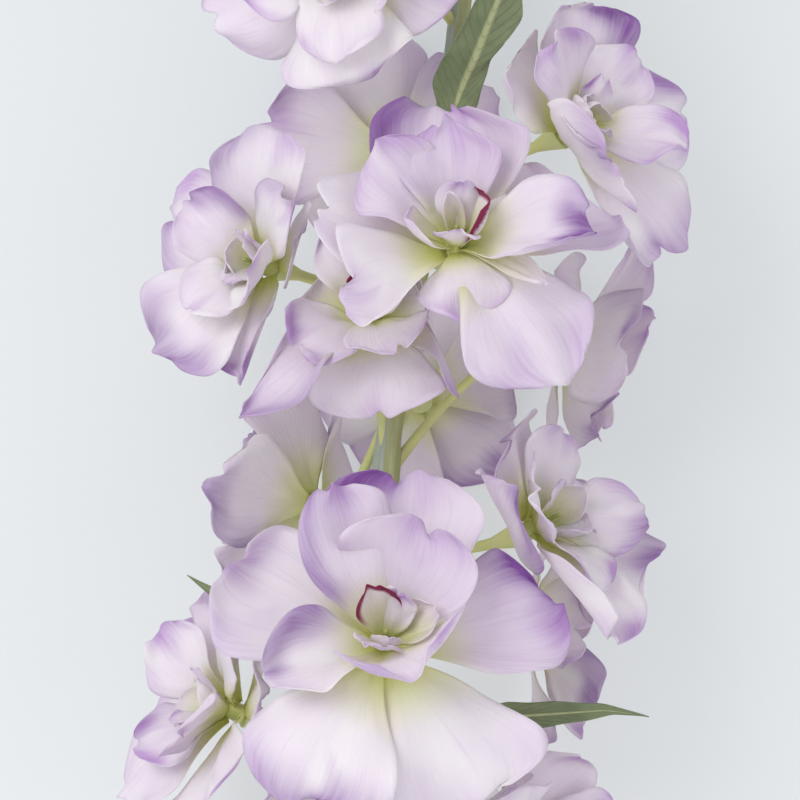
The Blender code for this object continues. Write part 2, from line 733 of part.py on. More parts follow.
def main():
    clear_scene()
    petal_finish = material("petals", LILAC, 0.7)
    stem_finish = material("stem", STEM_GREEN, 0.5)
    leaf_finish = material("leaves", LEAF_GREEN, 0.6)
    bud_finish = material("buds", BUD_LILAC, 0.7)
    stalks = {floret.name: stalk_route(floret) for floret in all_florets()}
    tip_buds = buds()
    bud_stalks = [bud_stalk(bud, bud is tip_buds[-1]) for bud in tip_buds]
    everything = items()
    walls = {item.name: planes_round(item, everything, stalks) for item in everything}
    made = [make_stem(stalks, bud_stalks, stem_finish)]
    made += [make_floret(floret, walls[floret.name], petal_finish) for floret in all_florets()]
    made += [make_bud(bud, bud_finish) for bud in tip_buds]
    made += [make_leaf(leaf, walls[leaf.name], leaf_finish) for leaf in LEAVES]
    for obj in made:
        obj.data.transform(Matrix.Translation(-FOOT_MIDDLE))


main()
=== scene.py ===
"""The looks of a cut delphinium spike that lies on a pale floor, seen from straight above.

Every petal, stalk and leaf follows the same curves as its solid, on a much finer mesh with
ruffled rims, and the small parts that the solids leave out are added: the petals round each
heart with their crimson rims, the pistils, the ribs of the stem and the veins.
"""

import math
import random
from collections import namedtuple

import bpy
import numpy as np
from mathutils import Matrix, Vector

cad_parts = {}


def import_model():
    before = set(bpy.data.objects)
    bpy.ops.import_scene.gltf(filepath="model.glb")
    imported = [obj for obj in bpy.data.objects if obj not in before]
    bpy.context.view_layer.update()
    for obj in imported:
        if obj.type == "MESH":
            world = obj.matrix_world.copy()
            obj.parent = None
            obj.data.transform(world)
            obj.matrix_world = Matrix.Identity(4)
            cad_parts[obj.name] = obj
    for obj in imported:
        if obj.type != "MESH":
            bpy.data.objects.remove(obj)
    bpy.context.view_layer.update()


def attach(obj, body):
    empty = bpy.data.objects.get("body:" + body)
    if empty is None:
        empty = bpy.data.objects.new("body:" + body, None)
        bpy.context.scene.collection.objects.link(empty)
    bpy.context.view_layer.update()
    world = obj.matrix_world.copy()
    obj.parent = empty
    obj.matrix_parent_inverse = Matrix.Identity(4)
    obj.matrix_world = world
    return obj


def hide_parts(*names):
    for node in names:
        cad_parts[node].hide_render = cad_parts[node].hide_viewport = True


MM = 0.001

# The spike's own frame is centred on the middle of its footprint, on the surface it lies on.
FOOT_MIDDLE = Vector((-7.5, -19.1, 0.0)) * MM

# The stem's route, from the cut end to the tip: across, along and above the surface.
STEM_ROUTE = [Vector(p) * MM for p in (
    (-15, -250, 3.6), (-13, -200, 14), (-10, -150, 29), (-7, -100, 39), (-5, -55, 42),
    (-2.4, -8, 42), (3, 25, 42), (9, 58, 42), (14, 92, 39), (19, 130, 33), (23, 168, 27),
    (25, 205, 23),
)]
STEM_FOOT_RADIUS = 3.3 * MM
STEM_TIP_RADIUS = 1.1 * MM
STEM_STEP = 22 * MM

STALK_RADIUS = 0.95 * MM
CALYX_RADIUS = 3.2 * MM
CALYX_LENGTH = 7 * MM
SEAT_GAP = 0.3 * MM

LEAF_THICKNESS = 0.8 * MM
LEAF_REACH = 7 * MM
LEAF_SEAT = 0.4
PETAL_TAPER = 0.86
CLAW_LENGTH = 1.4
TIP_ROUNDING = 0.07
CLEARANCE = 0.3 * MM
PETAL_SOFTNESS = 3.5 * MM
LEAF_SOFTNESS = 0.8 * MM
LAYER = 0.75 * MM

Floret = namedtuple("Floret", "name base heading lift roll radius cup drop full")
# base: where the heart sits, in mm across, along and above the surface.
# heading, lift: where the floret faces, in degrees round from +X and above the horizon.
# roll: turns its petals about that direction. radius: length of its outer petals in mm.
# cup: degrees that its petals close up. drop: how far below the heart its stalk leaves the stem.
OPEN_FLORETS = (
    Floret("floret_a", (11, 28, 71), 88, 50, 25, 35, -4, 2, True),
    Floret("floret_b", (-11, 90, 57), 232, 62, 60, 32, 0, 14, True),
    Floret("floret_c", (33, 54, 48), 28, 44, 9, 30, 0, 16, True),
    Floret("floret_d", (-26, 27, 43), 165, 52, 15, 27, 2, 14, True),
    Floret("floret_e", (-6, 14, 52), 92, 50, -8, 33, -3, 28, True),
    Floret("floret_f", (25, -27, 45), 28, 30, 40, 31, 2, 12, True),
    Floret("floret_g", (-3, -50, 72), 86, 58, 8, 37, -4, -8, True),
    Floret("floret_h", (-32, -64, 43), 160, 24, 20, 30, 2, 8, True),
    Floret("floret_i", (-17, -22, 28), 165, -36, 10, 28, 4, -20, True),
    Floret("floret_j", (17, -89, 47), 330, 48, 70, 28, 4, 10, True),
    Floret("floret_k", (32, 12, 27), 340, -14, 30, 27, 4, 28, True),
    Floret("floret_l", (-9, -88, 52), 240, 62, 20, 27, 4, 12, True),
    Floret("floret_m", (25, -46, 25), 350, -10, 20, 26, 4, 14, True),
    Floret("floret_n", (0, 52, 15), 150, -72, 0, 27, 12, 12, True),
    Floret("floret_o", (-2, -92, 14), 260, -74, 36, 27, 12, 12, True),
    Floret("floret_p", (4, 0, 14), 0, -82, 10, 25, 14, 12, True),
)

SPIRAL_TURN = 137.5
TOP_FLORETS = 6
TOP_FLORET_STEP = 11.5
TOP_FLORET_START = 100.0

BUDS = 9
BUD_START = 168.0
BUD_STEP = 4.6

Whorl = namedtuple(
    "Whorl", "count turn step climb length width rise bend cup ruffle hub height lift sheets",
)
# turn, step, climb, rise and bend are in degrees: each petal sits one step further round than the
# last and climbs a little steeper. length, width and ruffle are shares of the floret's radius.
# count is the places round the heart. Petals that aren't neighbours grow from one small disc, hub
# wide from its middle. sheets groups them by their order, the first group at this height on the
# heart and the next a lift above, and a place that no group holds stays empty.
OUTER = Whorl(
    5, 0, 144, 4.2, 1.0, 0.94, 20, -32, 0.06, 0.035, 2.7 * MM, 0.6 * MM, 0.85 * MM,
    ((0, 1), (2, 3), (4,)),
)
INNER = Whorl(
    4, 36, 90, 5.0, 0.70, 0.60, 44, -32, 0.10, 0.040, 2.3 * MM, 3.2 * MM, 0.85 * MM,
    ((0, 2), (1, 3)),
)
LIPS = Whorl(
    4, 60, 90, 0.0, 0.34, 0.26, 70, -14, 0.10, 0.0, 1.8 * MM, 5.0 * MM, 0.0, ((0, 2),),
)
TOP_INNER = INNER._replace(sheets=((0, 2),))

# What sets single petals apart from their whorl, by floret, whorl and order in it: degrees more of
# turn, rise and bend, shares of length and width, and more cup.
Change = namedtuple("Change", "turn length width rise bend cup")
UNCHANGED = Change(0, 1, 1, 0, 0, 0)
CHANGES = {
    ("floret_a", 0, 0): Change(0, 1.05, 0.85, 2, 0, 0),
    ("floret_a", 0, 1): Change(-4, 1.02, 0.80, 0, 0, 0),
    ("floret_a", 0, 2): Change(-10, 0.87, 0.92, -16, -26, 0),
    ("floret_a", 0, 3): Change(-2, 0.95, 1.00, 6, 0, 0.1),
    ("floret_a", 0, 4): Change(-34, 0.98, 0.66, -20, -10, 0.2),
    ("floret_a", 1, 0): Change(34, 1.05, 0.95, 4, 16, 0.2),
    ("floret_a", 1, 1): Change(-11, 1.00, 0.95, -4, 6, 0.1),
    ("floret_a", 1, 2): Change(39, 0.62, 0.90, -34, -36, 0),
    ("floret_a", 1, 3): Change(12, 1.22, 1.10, -24, 20, 0.35),
    ("floret_d", 0, 0): Change(0, 0.72, 0.80, 8, 0, 0),
    ("floret_d", 0, 2): Change(-20, 0.90, 0.85, 0, 0, 0),
    ("floret_e", 0, 0): Change(0, 1.00, 0.70, 4, -6, 0.2),
    ("floret_e", 0, 2): Change(2, 0.62, 0.84, -14, -28, 0),
    ("floret_e", 0, 4): Change(-6, 1.05, 0.95, -14, -10, 0),
    ("floret_e", 1, 2): Change(6, 0.85, 0.95, -8, -16, 0),
    ("floret_e", 1, 3): Change(-8, 0.85, 0.90, -8, -16, 0),
    ("floret_e", 2, 2): Change(0, 0.65, 0.80, 0, 0, 0),
    ("floret_g", 0, 0): Change(6, 1.12, 0.84, 6, -4, 0),
    ("floret_g", 0, 1): Change(2, 0.96, 0.86, -4, 0, 0),
    ("floret_g", 0, 2): Change(2, 1.04, 1.02, -18, -26, 0),
    ("floret_g", 0, 3): Change(-2, 0.96, 0.96, 8, 0, 0),
    ("floret_g", 0, 4): Change(12, 1.12, 0.98, -22, -26, -0.1),
    ("floret_g", 1, 0): Change(28, 0.95, 1.20, 4, 26, 0.3),
    ("floret_g", 1, 1): Change(-14, 1.20, 0.90, 4, 0, 0.1),
    ("floret_g", 1, 2): Change(-28, 0.98, 0.78, -22, -16, 0.6),
    ("floret_g", 1, 3): Change(-20, 0.85, 1.20, 2, 14, 0.3),
}

Petal = namedtuple(
    "Petal", "turn length width rise bend cup ruffle waves phase twist sway height level whorl",
)

Leaf = namedtuple("Leaf", "name along side heading lift length width bend twist")
LEAVES = (
    Leaf("leaf_1", 57, 60, 68, 44, 44, 14, -36, 14),
    Leaf("leaf_2", -66, 14, 4, 16, 54, 6, -24, 12),
    Leaf("leaf_3", -58, 150, 146, 40, 46, 6, -30, -14),
    Leaf("leaf_4", -92, 180, 190, 26, 42, 8, -20, 14),
    Leaf("leaf_5", -122, 0, -4, 20, 58, 15, -36, -14),
    Leaf("leaf_6", -156, 200, 184, 4, 62, 15, -26, 14),
    Leaf("leaf_7", 88, 10, 0, 6, 34, 9, -24, 12),
)

# What only the dressed petals have.
SILK_THICKNESS = 0.22 * MM
BLADE_THICKNESS = 0.35 * MM
FINE_ROWS = 26
FINE_COLUMNS = 22
PLAIN_ROWS = 18
PLAIN_COLUMNS = 14
NEAR_FLORETS = "abcdefghjlm"
LEAF_ROWS = 48
LEAF_COLUMNS = 16
BUD_ROWS = 30
BUD_SIDES = 40
HEART_SIDES = 16
STEM_ROWS = 240
STALK_ROWS = 28
PLACE_SPREAD = 40
FIRM_ROUNDS = 6

# The stem swells by this share over this length where a stalk leaves it.
JOINT_SWELL = 0.10
JOINT_LENGTH = 2.2 * MM

# How far up a petal the green of its throat reaches, on its front and on its back, and where on a
# curled petal the crimson rim starts and how soon it is full.
THROAT_FRONT = 0.44
THROAT_BACK = 0.42
CRIMSON_FRONT = (0.74, 0.16)
CRIMSON_BACK = (0.86, 0.10)

# A blade is widest this far along, and its rim lies this far from there along it.
BLADE_MIDDLE = 0.55
BLADE_REACH = 0.45

# How strong the waves of a rim are: in its width, along it and out of it, as shares of the petal.
WIDTH_WAVE = 0.08
EDGE_WAVE = 0.05
RIM_WAVE = 0.06
FRILL = 0.024
CURL = 0.10
PLEAT = 0.015
DIMPLE = 0.012

# How strongly each petal is flushed: lilac all over, lilac at its rim, a deep purple rim, which way
# round the rim the purple lies in degrees (0 at the tip, positive to its left), and how far its rim
# curls. They are given for petals that stand out, by floret, whorl and place, and drawn for the rest.
Flush = namedtuple("Flush", "wash rim deep towards curl")
FLUSHES = {
    ("a", 0, 0): Flush(0.30, 0.5, 0.15, -30, 0.3),
    ("a", 0, 1): Flush(0.03, 0.25, 0.0, 0, 0.2),
    ("a", 0, 2): Flush(0.22, 0.5, 0.0, 0, 0.2),
    ("a", 0, 3): Flush(0.28, 0.8, 0.7, 80, 0.0),
    ("a", 0, 4): Flush(0.05, 0.7, 0.0, 60, 0.9),
    ("a", 1, 0): Flush(0.45, 0.5, 0.05, 0, 0.2),
    ("a", 1, 1): Flush(0.30, 0.6, 0.0, 0, 0.0),
    ("a", 1, 2): Flush(0.15, 0.6, 0.0, 0, 0.4),
    ("a", 1, 3): Flush(0.15, 0.7, 1.0, 0, 0.0),
    ("e", 0, 0): Flush(0.35, 0.6, 0.3, 0, 0.0),
    ("e", 0, 2): Flush(0.10, 0.6, 0.0, 0, 0.3),
    ("e", 0, 4): Flush(0.25, 0.5, 0.4, 60, 0.3),
    ("e", 1, 2): Flush(0.20, 0.9, 0.2, 0, 0.5),
    ("e", 1, 3): Flush(0.10, 0.7, 0.0, 0, 0.4),
    ("g", 0, 0): Flush(0.35, 0.6, 1.0, 20, 0.0),
    ("g", 0, 1): Flush(0.10, 0.6, 0.2, 20, 0.3),
    ("g", 0, 2): Flush(0.06, 0.5, 0.1, -40, 0.0),
    ("g", 0, 3): Flush(0.20, 0.7, 0.8, 60, 0.2),
    ("g", 0, 4): Flush(0.03, 0.6, 0.8, 10, 0.0),
    ("g", 1, 0): Flush(0.30, 0.5, 0.1, -40, 0.0),
    ("g", 1, 1): Flush(0.20, 0.7, 0.7, 80, 0.3),
    ("g", 1, 2): Flush(0.02, 0.5, 0.6, -60, 0.6),
    ("g", 1, 3): Flush(0.10, 0.7, 0.2, -30, 0.2),
}


def direction(heading, lift):
    """A unit vector from degrees round from +X and degrees above the horizon."""
    h, e = math.radians(heading), math.radians(lift)
    return Vector((math.cos(h) * math.cos(e), math.sin(h) * math.cos(e), math.sin(e)))


def smoothstep(x):
    t = np.clip(x, 0.0, 1.0)
    return t * t * (3 - 2 * t)


def stem_point(along):
    """The point on the stem's middle line at this distance along Y, by a smooth curve through the route."""
    ys = [p.y for p in STEM_ROUTE]
    i = min(max(int(np.searchsorted(ys, along)) - 1, 0), len(ys) - 2)

    def slope(k):
        a, b = STEM_ROUTE[max(k - 1, 0)], STEM_ROUTE[min(k + 1, len(ys) - 1)]
        return (b - a) / (b.y - a.y)

    p, q = STEM_ROUTE[i], STEM_ROUTE[i + 1]
    gap = q.y - p.y
    t = (along - p.y) / gap
    return (
        p * (2 * t**3 - 3 * t**2 + 1) + slope(i) * gap * (t**3 - 2 * t**2 + t)
        + q * (3 * t**2 - 2 * t**3) + slope(i + 1) * gap * (t**3 - t**2)
    )


def stem_direction(along):
    return (stem_point(along + MM) - stem_point(along - MM)).normalized()


def stem_radius(along):
    foot, tip = STEM_ROUTE[0].y, STEM_ROUTE[-1].y
    share = (along - foot) / (tip - foot)
    return STEM_FOOT_RADIUS + (STEM_TIP_RADIUS - STEM_FOOT_RADIUS) * share**1.6


def top_florets():
    """The smaller, half-open florets above, in a spiral that tightens towards the tip."""
    made = []
    for n in range(TOP_FLORETS):
        along = TOP_FLORET_START + TOP_FLORET_STEP * n
        around = 150 + SPIRAL_TURN * n
        share = n / TOP_FLORETS
        reach = 19 - 7 * share
        stem = stem_point(along * MM) / MM
        out = Vector((math.cos(math.radians(around)), 0.25, math.sin(math.radians(around))))
        base = stem + out * reach
        heading = math.degrees(math.atan2(out.y + 0.25 + 0.5 * share, out.x))
        lift = math.degrees(math.asin(out.normalized().z)) * 0.9
        made.append(Floret(
            f"floret_{chr(ord('q') + n)}", tuple(base), heading, lift, 40 * n,
            24 - 8 * share, 8 + 26 * share, 12 - 3 * share, False,
        ))
    return made


def all_florets():
    return list(OPEN_FLORETS) + top_florets()


def base_of(floret):
    return Vector(floret.base) * MM


def facing_of(floret):
    return direction(floret.heading, floret.lift)


def floret_matrix(floret):
    """From a floret's own frame, facing +Z with its heart at the origin, to the spike's frame."""
    facing = facing_of(floret)
    up = Vector((0, 1, 0))
    side = up.cross(facing).normalized()
    upright = facing.cross(side)
    turn = Matrix.Rotation(math.radians(floret.roll), 3, "Z")
    axes = Matrix((side, upright, facing)).transposed() @ turn
    return Matrix.Translation(base_of(floret)) @ axes.to_4x4()


def whorls_of(floret):
    """The whorls of a floret, fewer and with fewer petals where it is small."""
    return (OUTER, INNER, LIPS) if floret.full else (OUTER, TOP_INNER)


def petals_of(floret):
    """The floret's petals, outer ones first, with small differences drawn from its own seed."""
    draw = random.Random(floret.name)
    size = floret.radius * MM
    made = []
    for depth, whorl in enumerate(whorls_of(floret)):
        for sheet, levels in enumerate(whorl.sheets):
            for k in levels:
                own = CHANGES.get((floret.name, depth, k), UNCHANGED)
                closed = whorl.climb * k + floret.cup / (1 + depth)
                made.append(Petal(
                    turn=whorl.turn + whorl.step * k + own.turn + draw.uniform(-5, 5),
                    length=size * whorl.length * own.length * draw.uniform(0.94, 1.06),
                    width=size * whorl.width * own.width * draw.uniform(0.93, 1.07),
                    rise=whorl.rise + closed + own.rise + draw.uniform(-1.5, 1.5),
                    bend=whorl.bend + own.bend + draw.uniform(-7, 7),
                    cup=whorl.cup * (k - 1) * draw.uniform(0.6, 1.4) + own.cup,
                    ruffle=size * whorl.ruffle * draw.uniform(0.7, 1.3),
                    waves=draw.choice((2, 3)),
                    phase=draw.uniform(0, 2 * math.pi),
                    twist=draw.uniform(-5, 5),
                    sway=draw.uniform(-0.08, 0.08),
                    height=whorl.height + whorl.lift * sheet,
                    level=k,
                    whorl=whorl,
                ))
    return made


def around_of(u, v):
    """Which way round a petal's rim a point lies, from 0 at the tip."""
    return np.arctan2(u, (v - BLADE_MIDDLE) * 1.9)


def rim_of_blade(u, v, most=1):
    """How near a petal's rim a point lies: 0 in its middle and 1 on the rim."""
    return np.clip(np.sqrt(u**2 + ((v - BLADE_MIDDLE) / BLADE_REACH) ** 2), 0, most)


def place_on(u, v, seed):
    """Where the material finds each point of a blade, apart from every other blade."""
    return np.stack((u, v, np.full_like(u, seed)), -1)


def petal_grid(petal, across, along, fine):
    """Points of a petal's middle sheet, (along + 1) x (across + 1) x 3, in the floret's frame.
    fine is what the petal's rim has of its own: waves, notches and a curl."""
    u, v = np.meshgrid(np.linspace(-1, 1, across + 1), np.linspace(0, 1, along + 1))
    blade_half = petal.width / 2 * np.sin(PETAL_TAPER * math.pi * v**CLAW_LENGTH) ** 0.85
    half = petal.whorl.hub * math.sin(math.pi / petal.whorl.count) * (1 - v) ** 2 + blade_half
    around = around_of(u, v)
    rim = rim_of_blade(u, v)
    run = v - TIP_ROUNDING * u**2 * v**3
    outer = smoothstep(v / 0.45)
    half = half * (1 + WIDTH_WAVE * fine.wander(around, 0) * rim**3)
    notch = fine.notch * np.exp(-(((u - fine.side) / 0.16) ** 2))
    run = run + rim**4 * outer * (EDGE_WAVE * fine.wander(around, 1) - notch)
    ripple = petal.length * outer * (
        RIM_WAVE * rim**4 * fine.wander(around, 2) + FRILL * rim**6 * fine.frill(around)
        + CURL * fine.curl * np.clip((rim - 0.72) / 0.28, 0, 1) ** 2
        * (0.6 + 0.4 * np.cos(around - math.radians(fine.curl_to)))
    )
    pleats = np.sin(u * fine.pleats + fine.phases[0]) * smoothstep(v / 0.6)
    ripple = ripple + PLEAT * petal.length * pleats
    ripple = ripple + DIMPLE * petal.length * np.sin(4.1 * u + 5.3 * v + fine.phases[1]) * outer
    rise, bend = math.radians(petal.rise), math.radians(petal.bend)
    tilt = rise + bend * run
    hub_edge = petal.whorl.hub * math.cos(math.pi / petal.whorl.count)
    out = hub_edge + petal.length * (np.sin(tilt) - math.sin(rise)) / bend
    up = petal.height + petal.length * (math.cos(rise) - np.cos(tilt)) / bend
    side = half * u + petal.sway * petal.length * run**2
    proud = petal.cup * half * (u**2 - 0.25) + ripple
    proud += petal.ruffle * rim**3 * smoothstep(v / 0.5) * np.sin(petal.waves * around + petal.phase)
    proud += side * np.sin(math.radians(petal.twist) * run)
    out, up = out - proud * np.sin(tilt), up + proud * np.cos(tilt)
    turn = math.radians(petal.turn)
    return np.stack((
        out * math.cos(turn) - side * math.sin(turn),
        out * math.sin(turn) + side * math.cos(turn),
        up,
    ), axis=-1)


class Rim:
    """A petal's own small differences, drawn from a seed, and how rough its rim is."""

    def __init__(self, seed, flush, rough=1.0):
        draw = random.Random(seed)
        self.rough = rough
        self.phases = [draw.uniform(0, 2 * math.pi) for _ in range(27)]
        self.notch = draw.choice((0, 0.03, 0.05, 0.09)) * rough
        self.side = draw.uniform(-0.3, 0.3)
        self.pleats = draw.uniform(4, 8)
        self.curl = flush.curl if flush else draw.choice((0, 0, 0.25, -0.3, 0.45))
        self.curl_to = flush.towards if flush else draw.uniform(-80, 80)
        self.flush = flush or Flush(
            draw.uniform(0.0, 0.24), draw.uniform(0.35, 1.0), draw.choice((0, 0, 0, 0.35, 0.7)),
            draw.uniform(-70, 70), 0,
        )
        self.seed = draw.random()

    def wander(self, around, first):
        """A slow wave round the rim, from -1 to 1."""
        waves = [
            np.sin(n * around + self.phases[3 * first + k]) / (1 + 0.4 * k)
            for k, n in enumerate((3, 5, 4))
        ]
        return sum(waves) / 2 * self.rough

    def frill(self, around):
        """A quick wave round the rim."""
        waves = np.sin(7 * around + self.phases[12]) * 0.6 + np.sin(11 * around + self.phases[13]) * 0.5
        return waves * self.rough


Bud = namedtuple("Bud", "name base facing length radius")
Item = namedtuple("Item", "name site reach claim")
# How much more than its share of the room the florets nearest the eye take.
CLAIMS = {"floret_a": 1.5, "floret_g": 1.5, "floret_e": 1.5, "floret_d": 1.3}


def moved(points, matrix):
    """An array of points carried by a 4 x 4 matrix."""
    m = np.array(matrix, float)
    return points @ m[:3, :3].T + m[:3, 3]


def stalk_route(floret):
    """Points along a stalk's middle line, from inside the stem to the back of the heart."""
    end = base_of(floret) - facing_of(floret) * SEAT_GAP
    root_along = end.y - floret.drop * MM
    root = stem_point(root_along)
    out = (end - root).normalized()
    first = root + (stem_direction(root_along) * math.copysign(0.5, floret.drop) + out) * (
        (end - root).length * 0.33
    )
    last = end - facing_of(floret) * (CALYX_LENGTH * 1.25)
    return [
        root * (1 - t) ** 3 + first * 3 * t * (1 - t) ** 2 + last * 3 * t**2 * (1 - t) + end * t**3
        for t in np.linspace(0, 1, 5)
    ]


def stalk_radius(share):
    """Thicker at the root, slim along the middle, and a funnel under the heart."""
    flare = max(0.0, (share - 0.68) / 0.32)
    return STALK_RADIUS * (1.35 - 0.35 * min(1.0, share * 4)) + (CALYX_RADIUS - STALK_RADIUS) * flare**1.5


def leaf_root(leaf):
    """Just clear of the stem's side, where the leaf springs from."""
    along = leaf.along * MM
    a = math.radians(leaf.side)
    side = Vector((math.cos(a), 0, math.sin(a)))
    return stem_point(along) + side * (stem_radius(along) + SEAT_GAP + LEAF_THICKNESS * 0.65)


def held_leaf(grid, walls):
    """A leaf's points bent clear of what is round it, except at its root, which stays in its seat."""
    held = hold(grid, walls, LEAF_THICKNESS / 2 + CLEARANCE, LEAF_SOFTNESS)
    free = smoothstep(np.linspace(0, 1, len(grid)) / LEAF_SEAT)[:, None, None]
    return grid + (held - grid) * free


def items():
    """What takes room round the stem: the middle of each floret and leaf, and how far it reaches."""
    made = []
    for f in all_florets():
        site = base_of(f) + facing_of(f) * (0.28 * f.radius * MM)
        made.append(Item(f.name, site, f.radius * MM, f.radius * MM * CLAIMS.get(f.name, 1)))
    for leaf in LEAVES:
        middle = leaf_grid(leaf, 2, 4)[2, 1]
        made.append(Item(leaf.name, Vector(middle), LEAF_REACH, LEAF_REACH))
    return made


def away_from_bar(site, a, b, room):
    """The plane (normal, distance) that keeps a piece at this site clear of a round bar from a to b."""
    span = b - a
    t = min(max((site - a).dot(span) / span.length_squared, 0), 1)
    normal = (a + span * t - site).normalized()
    return normal, min(normal.dot(a), normal.dot(b)) - room


def away_from_stem(site):
    """The plane, along the stem, that keeps a piece at this site clear of the stretch beside it."""
    a, b = stem_point(site.y - STEM_STEP), stem_point(site.y + STEM_STEP)
    normal = stem_point(site.y) - site
    normal = (normal - (b - a) * normal.dot(b - a) / (b - a).length_squared).normalized()
    nearest = min(normal.dot(p) for p in (a, b, stem_point(site.y)))
    return normal, nearest - stem_radius(site.y) - CLEARANCE


def planes_round(item, everything, stalks):
    """The flat walls that a piece bends clear of: its share of the room beside each neighbour,
    the other stalks and, round a floret, the stem. A point p is inside where normal . p <= distance."""
    walls = []
    for other in everything:
        gap = other.site - item.site
        if other.name == item.name or gap.length > item.reach + other.reach + 12 * MM:
            continue
        normal = gap.normalized()
        share = item.claim / (item.claim + other.claim)
        walls.append((normal, normal.dot(item.site + gap * share) - CLEARANCE / 2))
    for name, route in stalks.items():
        if name == item.name:
            continue
        for a, b in zip(route, route[1:]):
            if ((a + b) / 2 - item.site).length < item.reach * 1.3:
                walls.append(away_from_bar(item.site, a, b, CALYX_RADIUS * 0.5))
        if (route[-1] - item.site).length < item.reach * 1.3:
            walls.append(away_from_bar(item.site, route[-2], route[-1], CALYX_RADIUS))
    if item.name not in stalks:
        return walls + [away_from_stem(item.site)]
    for along in (item.site.y + k * STEM_STEP for k in range(-3, 4)):
        a, b = stem_point(along - STEM_STEP / 2), stem_point(along + STEM_STEP / 2)
        walls.append(away_from_bar(item.site, a, b, stem_radius(along) + CLEARANCE))
    return walls


def pressed(room, softness):
    """How far above the surface a point lies: unchanged well above it, flat on it from below."""
    near = (room + softness) ** 2 / (4 * softness)
    return np.where(room > softness, room, np.where(room < -softness, 0, near))


def crowded(room, softness):
    """How far inside a wall a point ends up: unchanged well inside, never beyond, always in order."""
    return np.where(room > softness, room, softness**2 / np.maximum(2 * softness - room, softness))


def hold(points, walls, room, softness, facing=None, level=0, levels=1):
    """Bends points clear of the walls and the surface, softly first and then by what is left.
    Petals crowded against one wall lie in layers, in the order of their levels."""
    shape = points.shape
    p = points.reshape(-1, 3).copy()
    surface = (Vector((0, 0, -1)), CLEARANCE)
    for firm in (False,) + (True,) * FIRM_ROUNDS:
        for wall in (surface, *walls):
            normal, distance = wall
            layers = 0
            if facing is not None:
                layers = level if normal.dot(facing) < 0 else levels - 1 - level
            n = np.array(normal)
            inside = distance - room - LAYER * layers - p @ n
            if firm:
                kept = np.maximum(inside, 0)
            elif wall is surface:
                kept = pressed(inside, softness)
            else:
                kept = crowded(inside, softness)
            p += np.outer(inside - kept, n)
    return p.reshape(shape)


def unit(vectors):
    return vectors / np.maximum(np.linalg.norm(vectors, axis=-1, keepdims=True), 1e-12)


def buds():
    """The closed buds at the tip, smaller towards the end, and one that ends the stem."""
    made = []
    for n in range(BUDS):
        along = (BUD_START + BUD_STEP * n) * MM
        around = math.radians(60 + SPIRAL_TURN * n)
        share = n / (BUDS - 1)
        stem = stem_point(min(along, STEM_ROUTE[-1].y))
        last = n == BUDS - 1
        out = Vector((math.cos(around), 0.75 + 0.5 * share, math.sin(around))).normalized()
        if last:
            stem, out = STEM_ROUTE[-1], stem_direction(STEM_ROUTE[-1].y - MM)
        base = stem + out * ((0.5 if last else 11 - 5 * share) * MM)
        made.append(Bud(f"bud_{n + 1}", base, out, (11.5 - 4.5 * share) * MM, (4.0 - 1.6 * share) * MM))
    return made


def bud_stalk(bud, last):
    end = bud.base - bud.facing * SEAT_GAP
    root = stem_point(min(end.y - 7 * MM, STEM_ROUTE[-1].y - 3 * MM))
    if last:
        root = STEM_ROUTE[-1] - bud.facing * 2 * MM
    bow = (root + end) / 2 + Vector((0, 1, 0)) * (0 if last else 1.0 * MM)
    return [root, root.lerp(bow, 0.7), end.lerp(bow, 0.5), end]


def leaf_grid(leaf, across, along, fine=False):
    """Points of a leaf's middle sheet in the spike's frame: lance-shaped and folded along its rib."""
    u, v = np.meshgrid(np.linspace(-1, 1, across + 1), np.linspace(0, 1, along + 1))
    length, half_width = leaf.length * MM, leaf.width * MM / 2
    half = half_width * (0.14 + 0.86 * np.sin(math.pi * v**0.75) ** 0.85) * (1 - 0.86 * v**7)
    if fine:
        half = half * (1 + 0.05 * np.abs(u) * np.sin(34 * v + 2 * u + leaf.along))
    heading, lift = math.radians(leaf.heading), math.radians(leaf.lift)
    bend = math.radians(leaf.bend) + 1e-6
    tilt = lift + bend * v
    run = length * (np.sin(tilt) - math.sin(lift)) / bend
    rise = length * (math.cos(lift) - np.cos(tilt)) / bend
    roll = math.radians(leaf.twist) * (0.4 + 0.6 * v)
    side = half * u * np.cos(roll)
    proud = half * (np.abs(u) * 0.3 + u * np.sin(roll))
    if fine:
        proud = proud + 0.06 * half * np.abs(u) * np.sin(19 * v + 3 * u + leaf.along)
        proud = proud + 0.25 * MM * np.exp(-((u / 0.1) ** 2)) * (1 - v)
    run, rise = run - proud * np.sin(tilt), rise + proud * np.cos(tilt)
    root = leaf_root(leaf)
    return np.stack((
        root.x + run * math.cos(heading) - side * math.sin(heading),
        root.y + run * math.sin(heading) + side * math.cos(heading),
        root.z + rise,
    ), axis=-1)


def placed(name, data):
    """A new object in the scene that holds this mesh, lamp or camera."""
    obj = bpy.data.objects.new(name, data)
    bpy.context.scene.collection.objects.link(obj)
    return obj


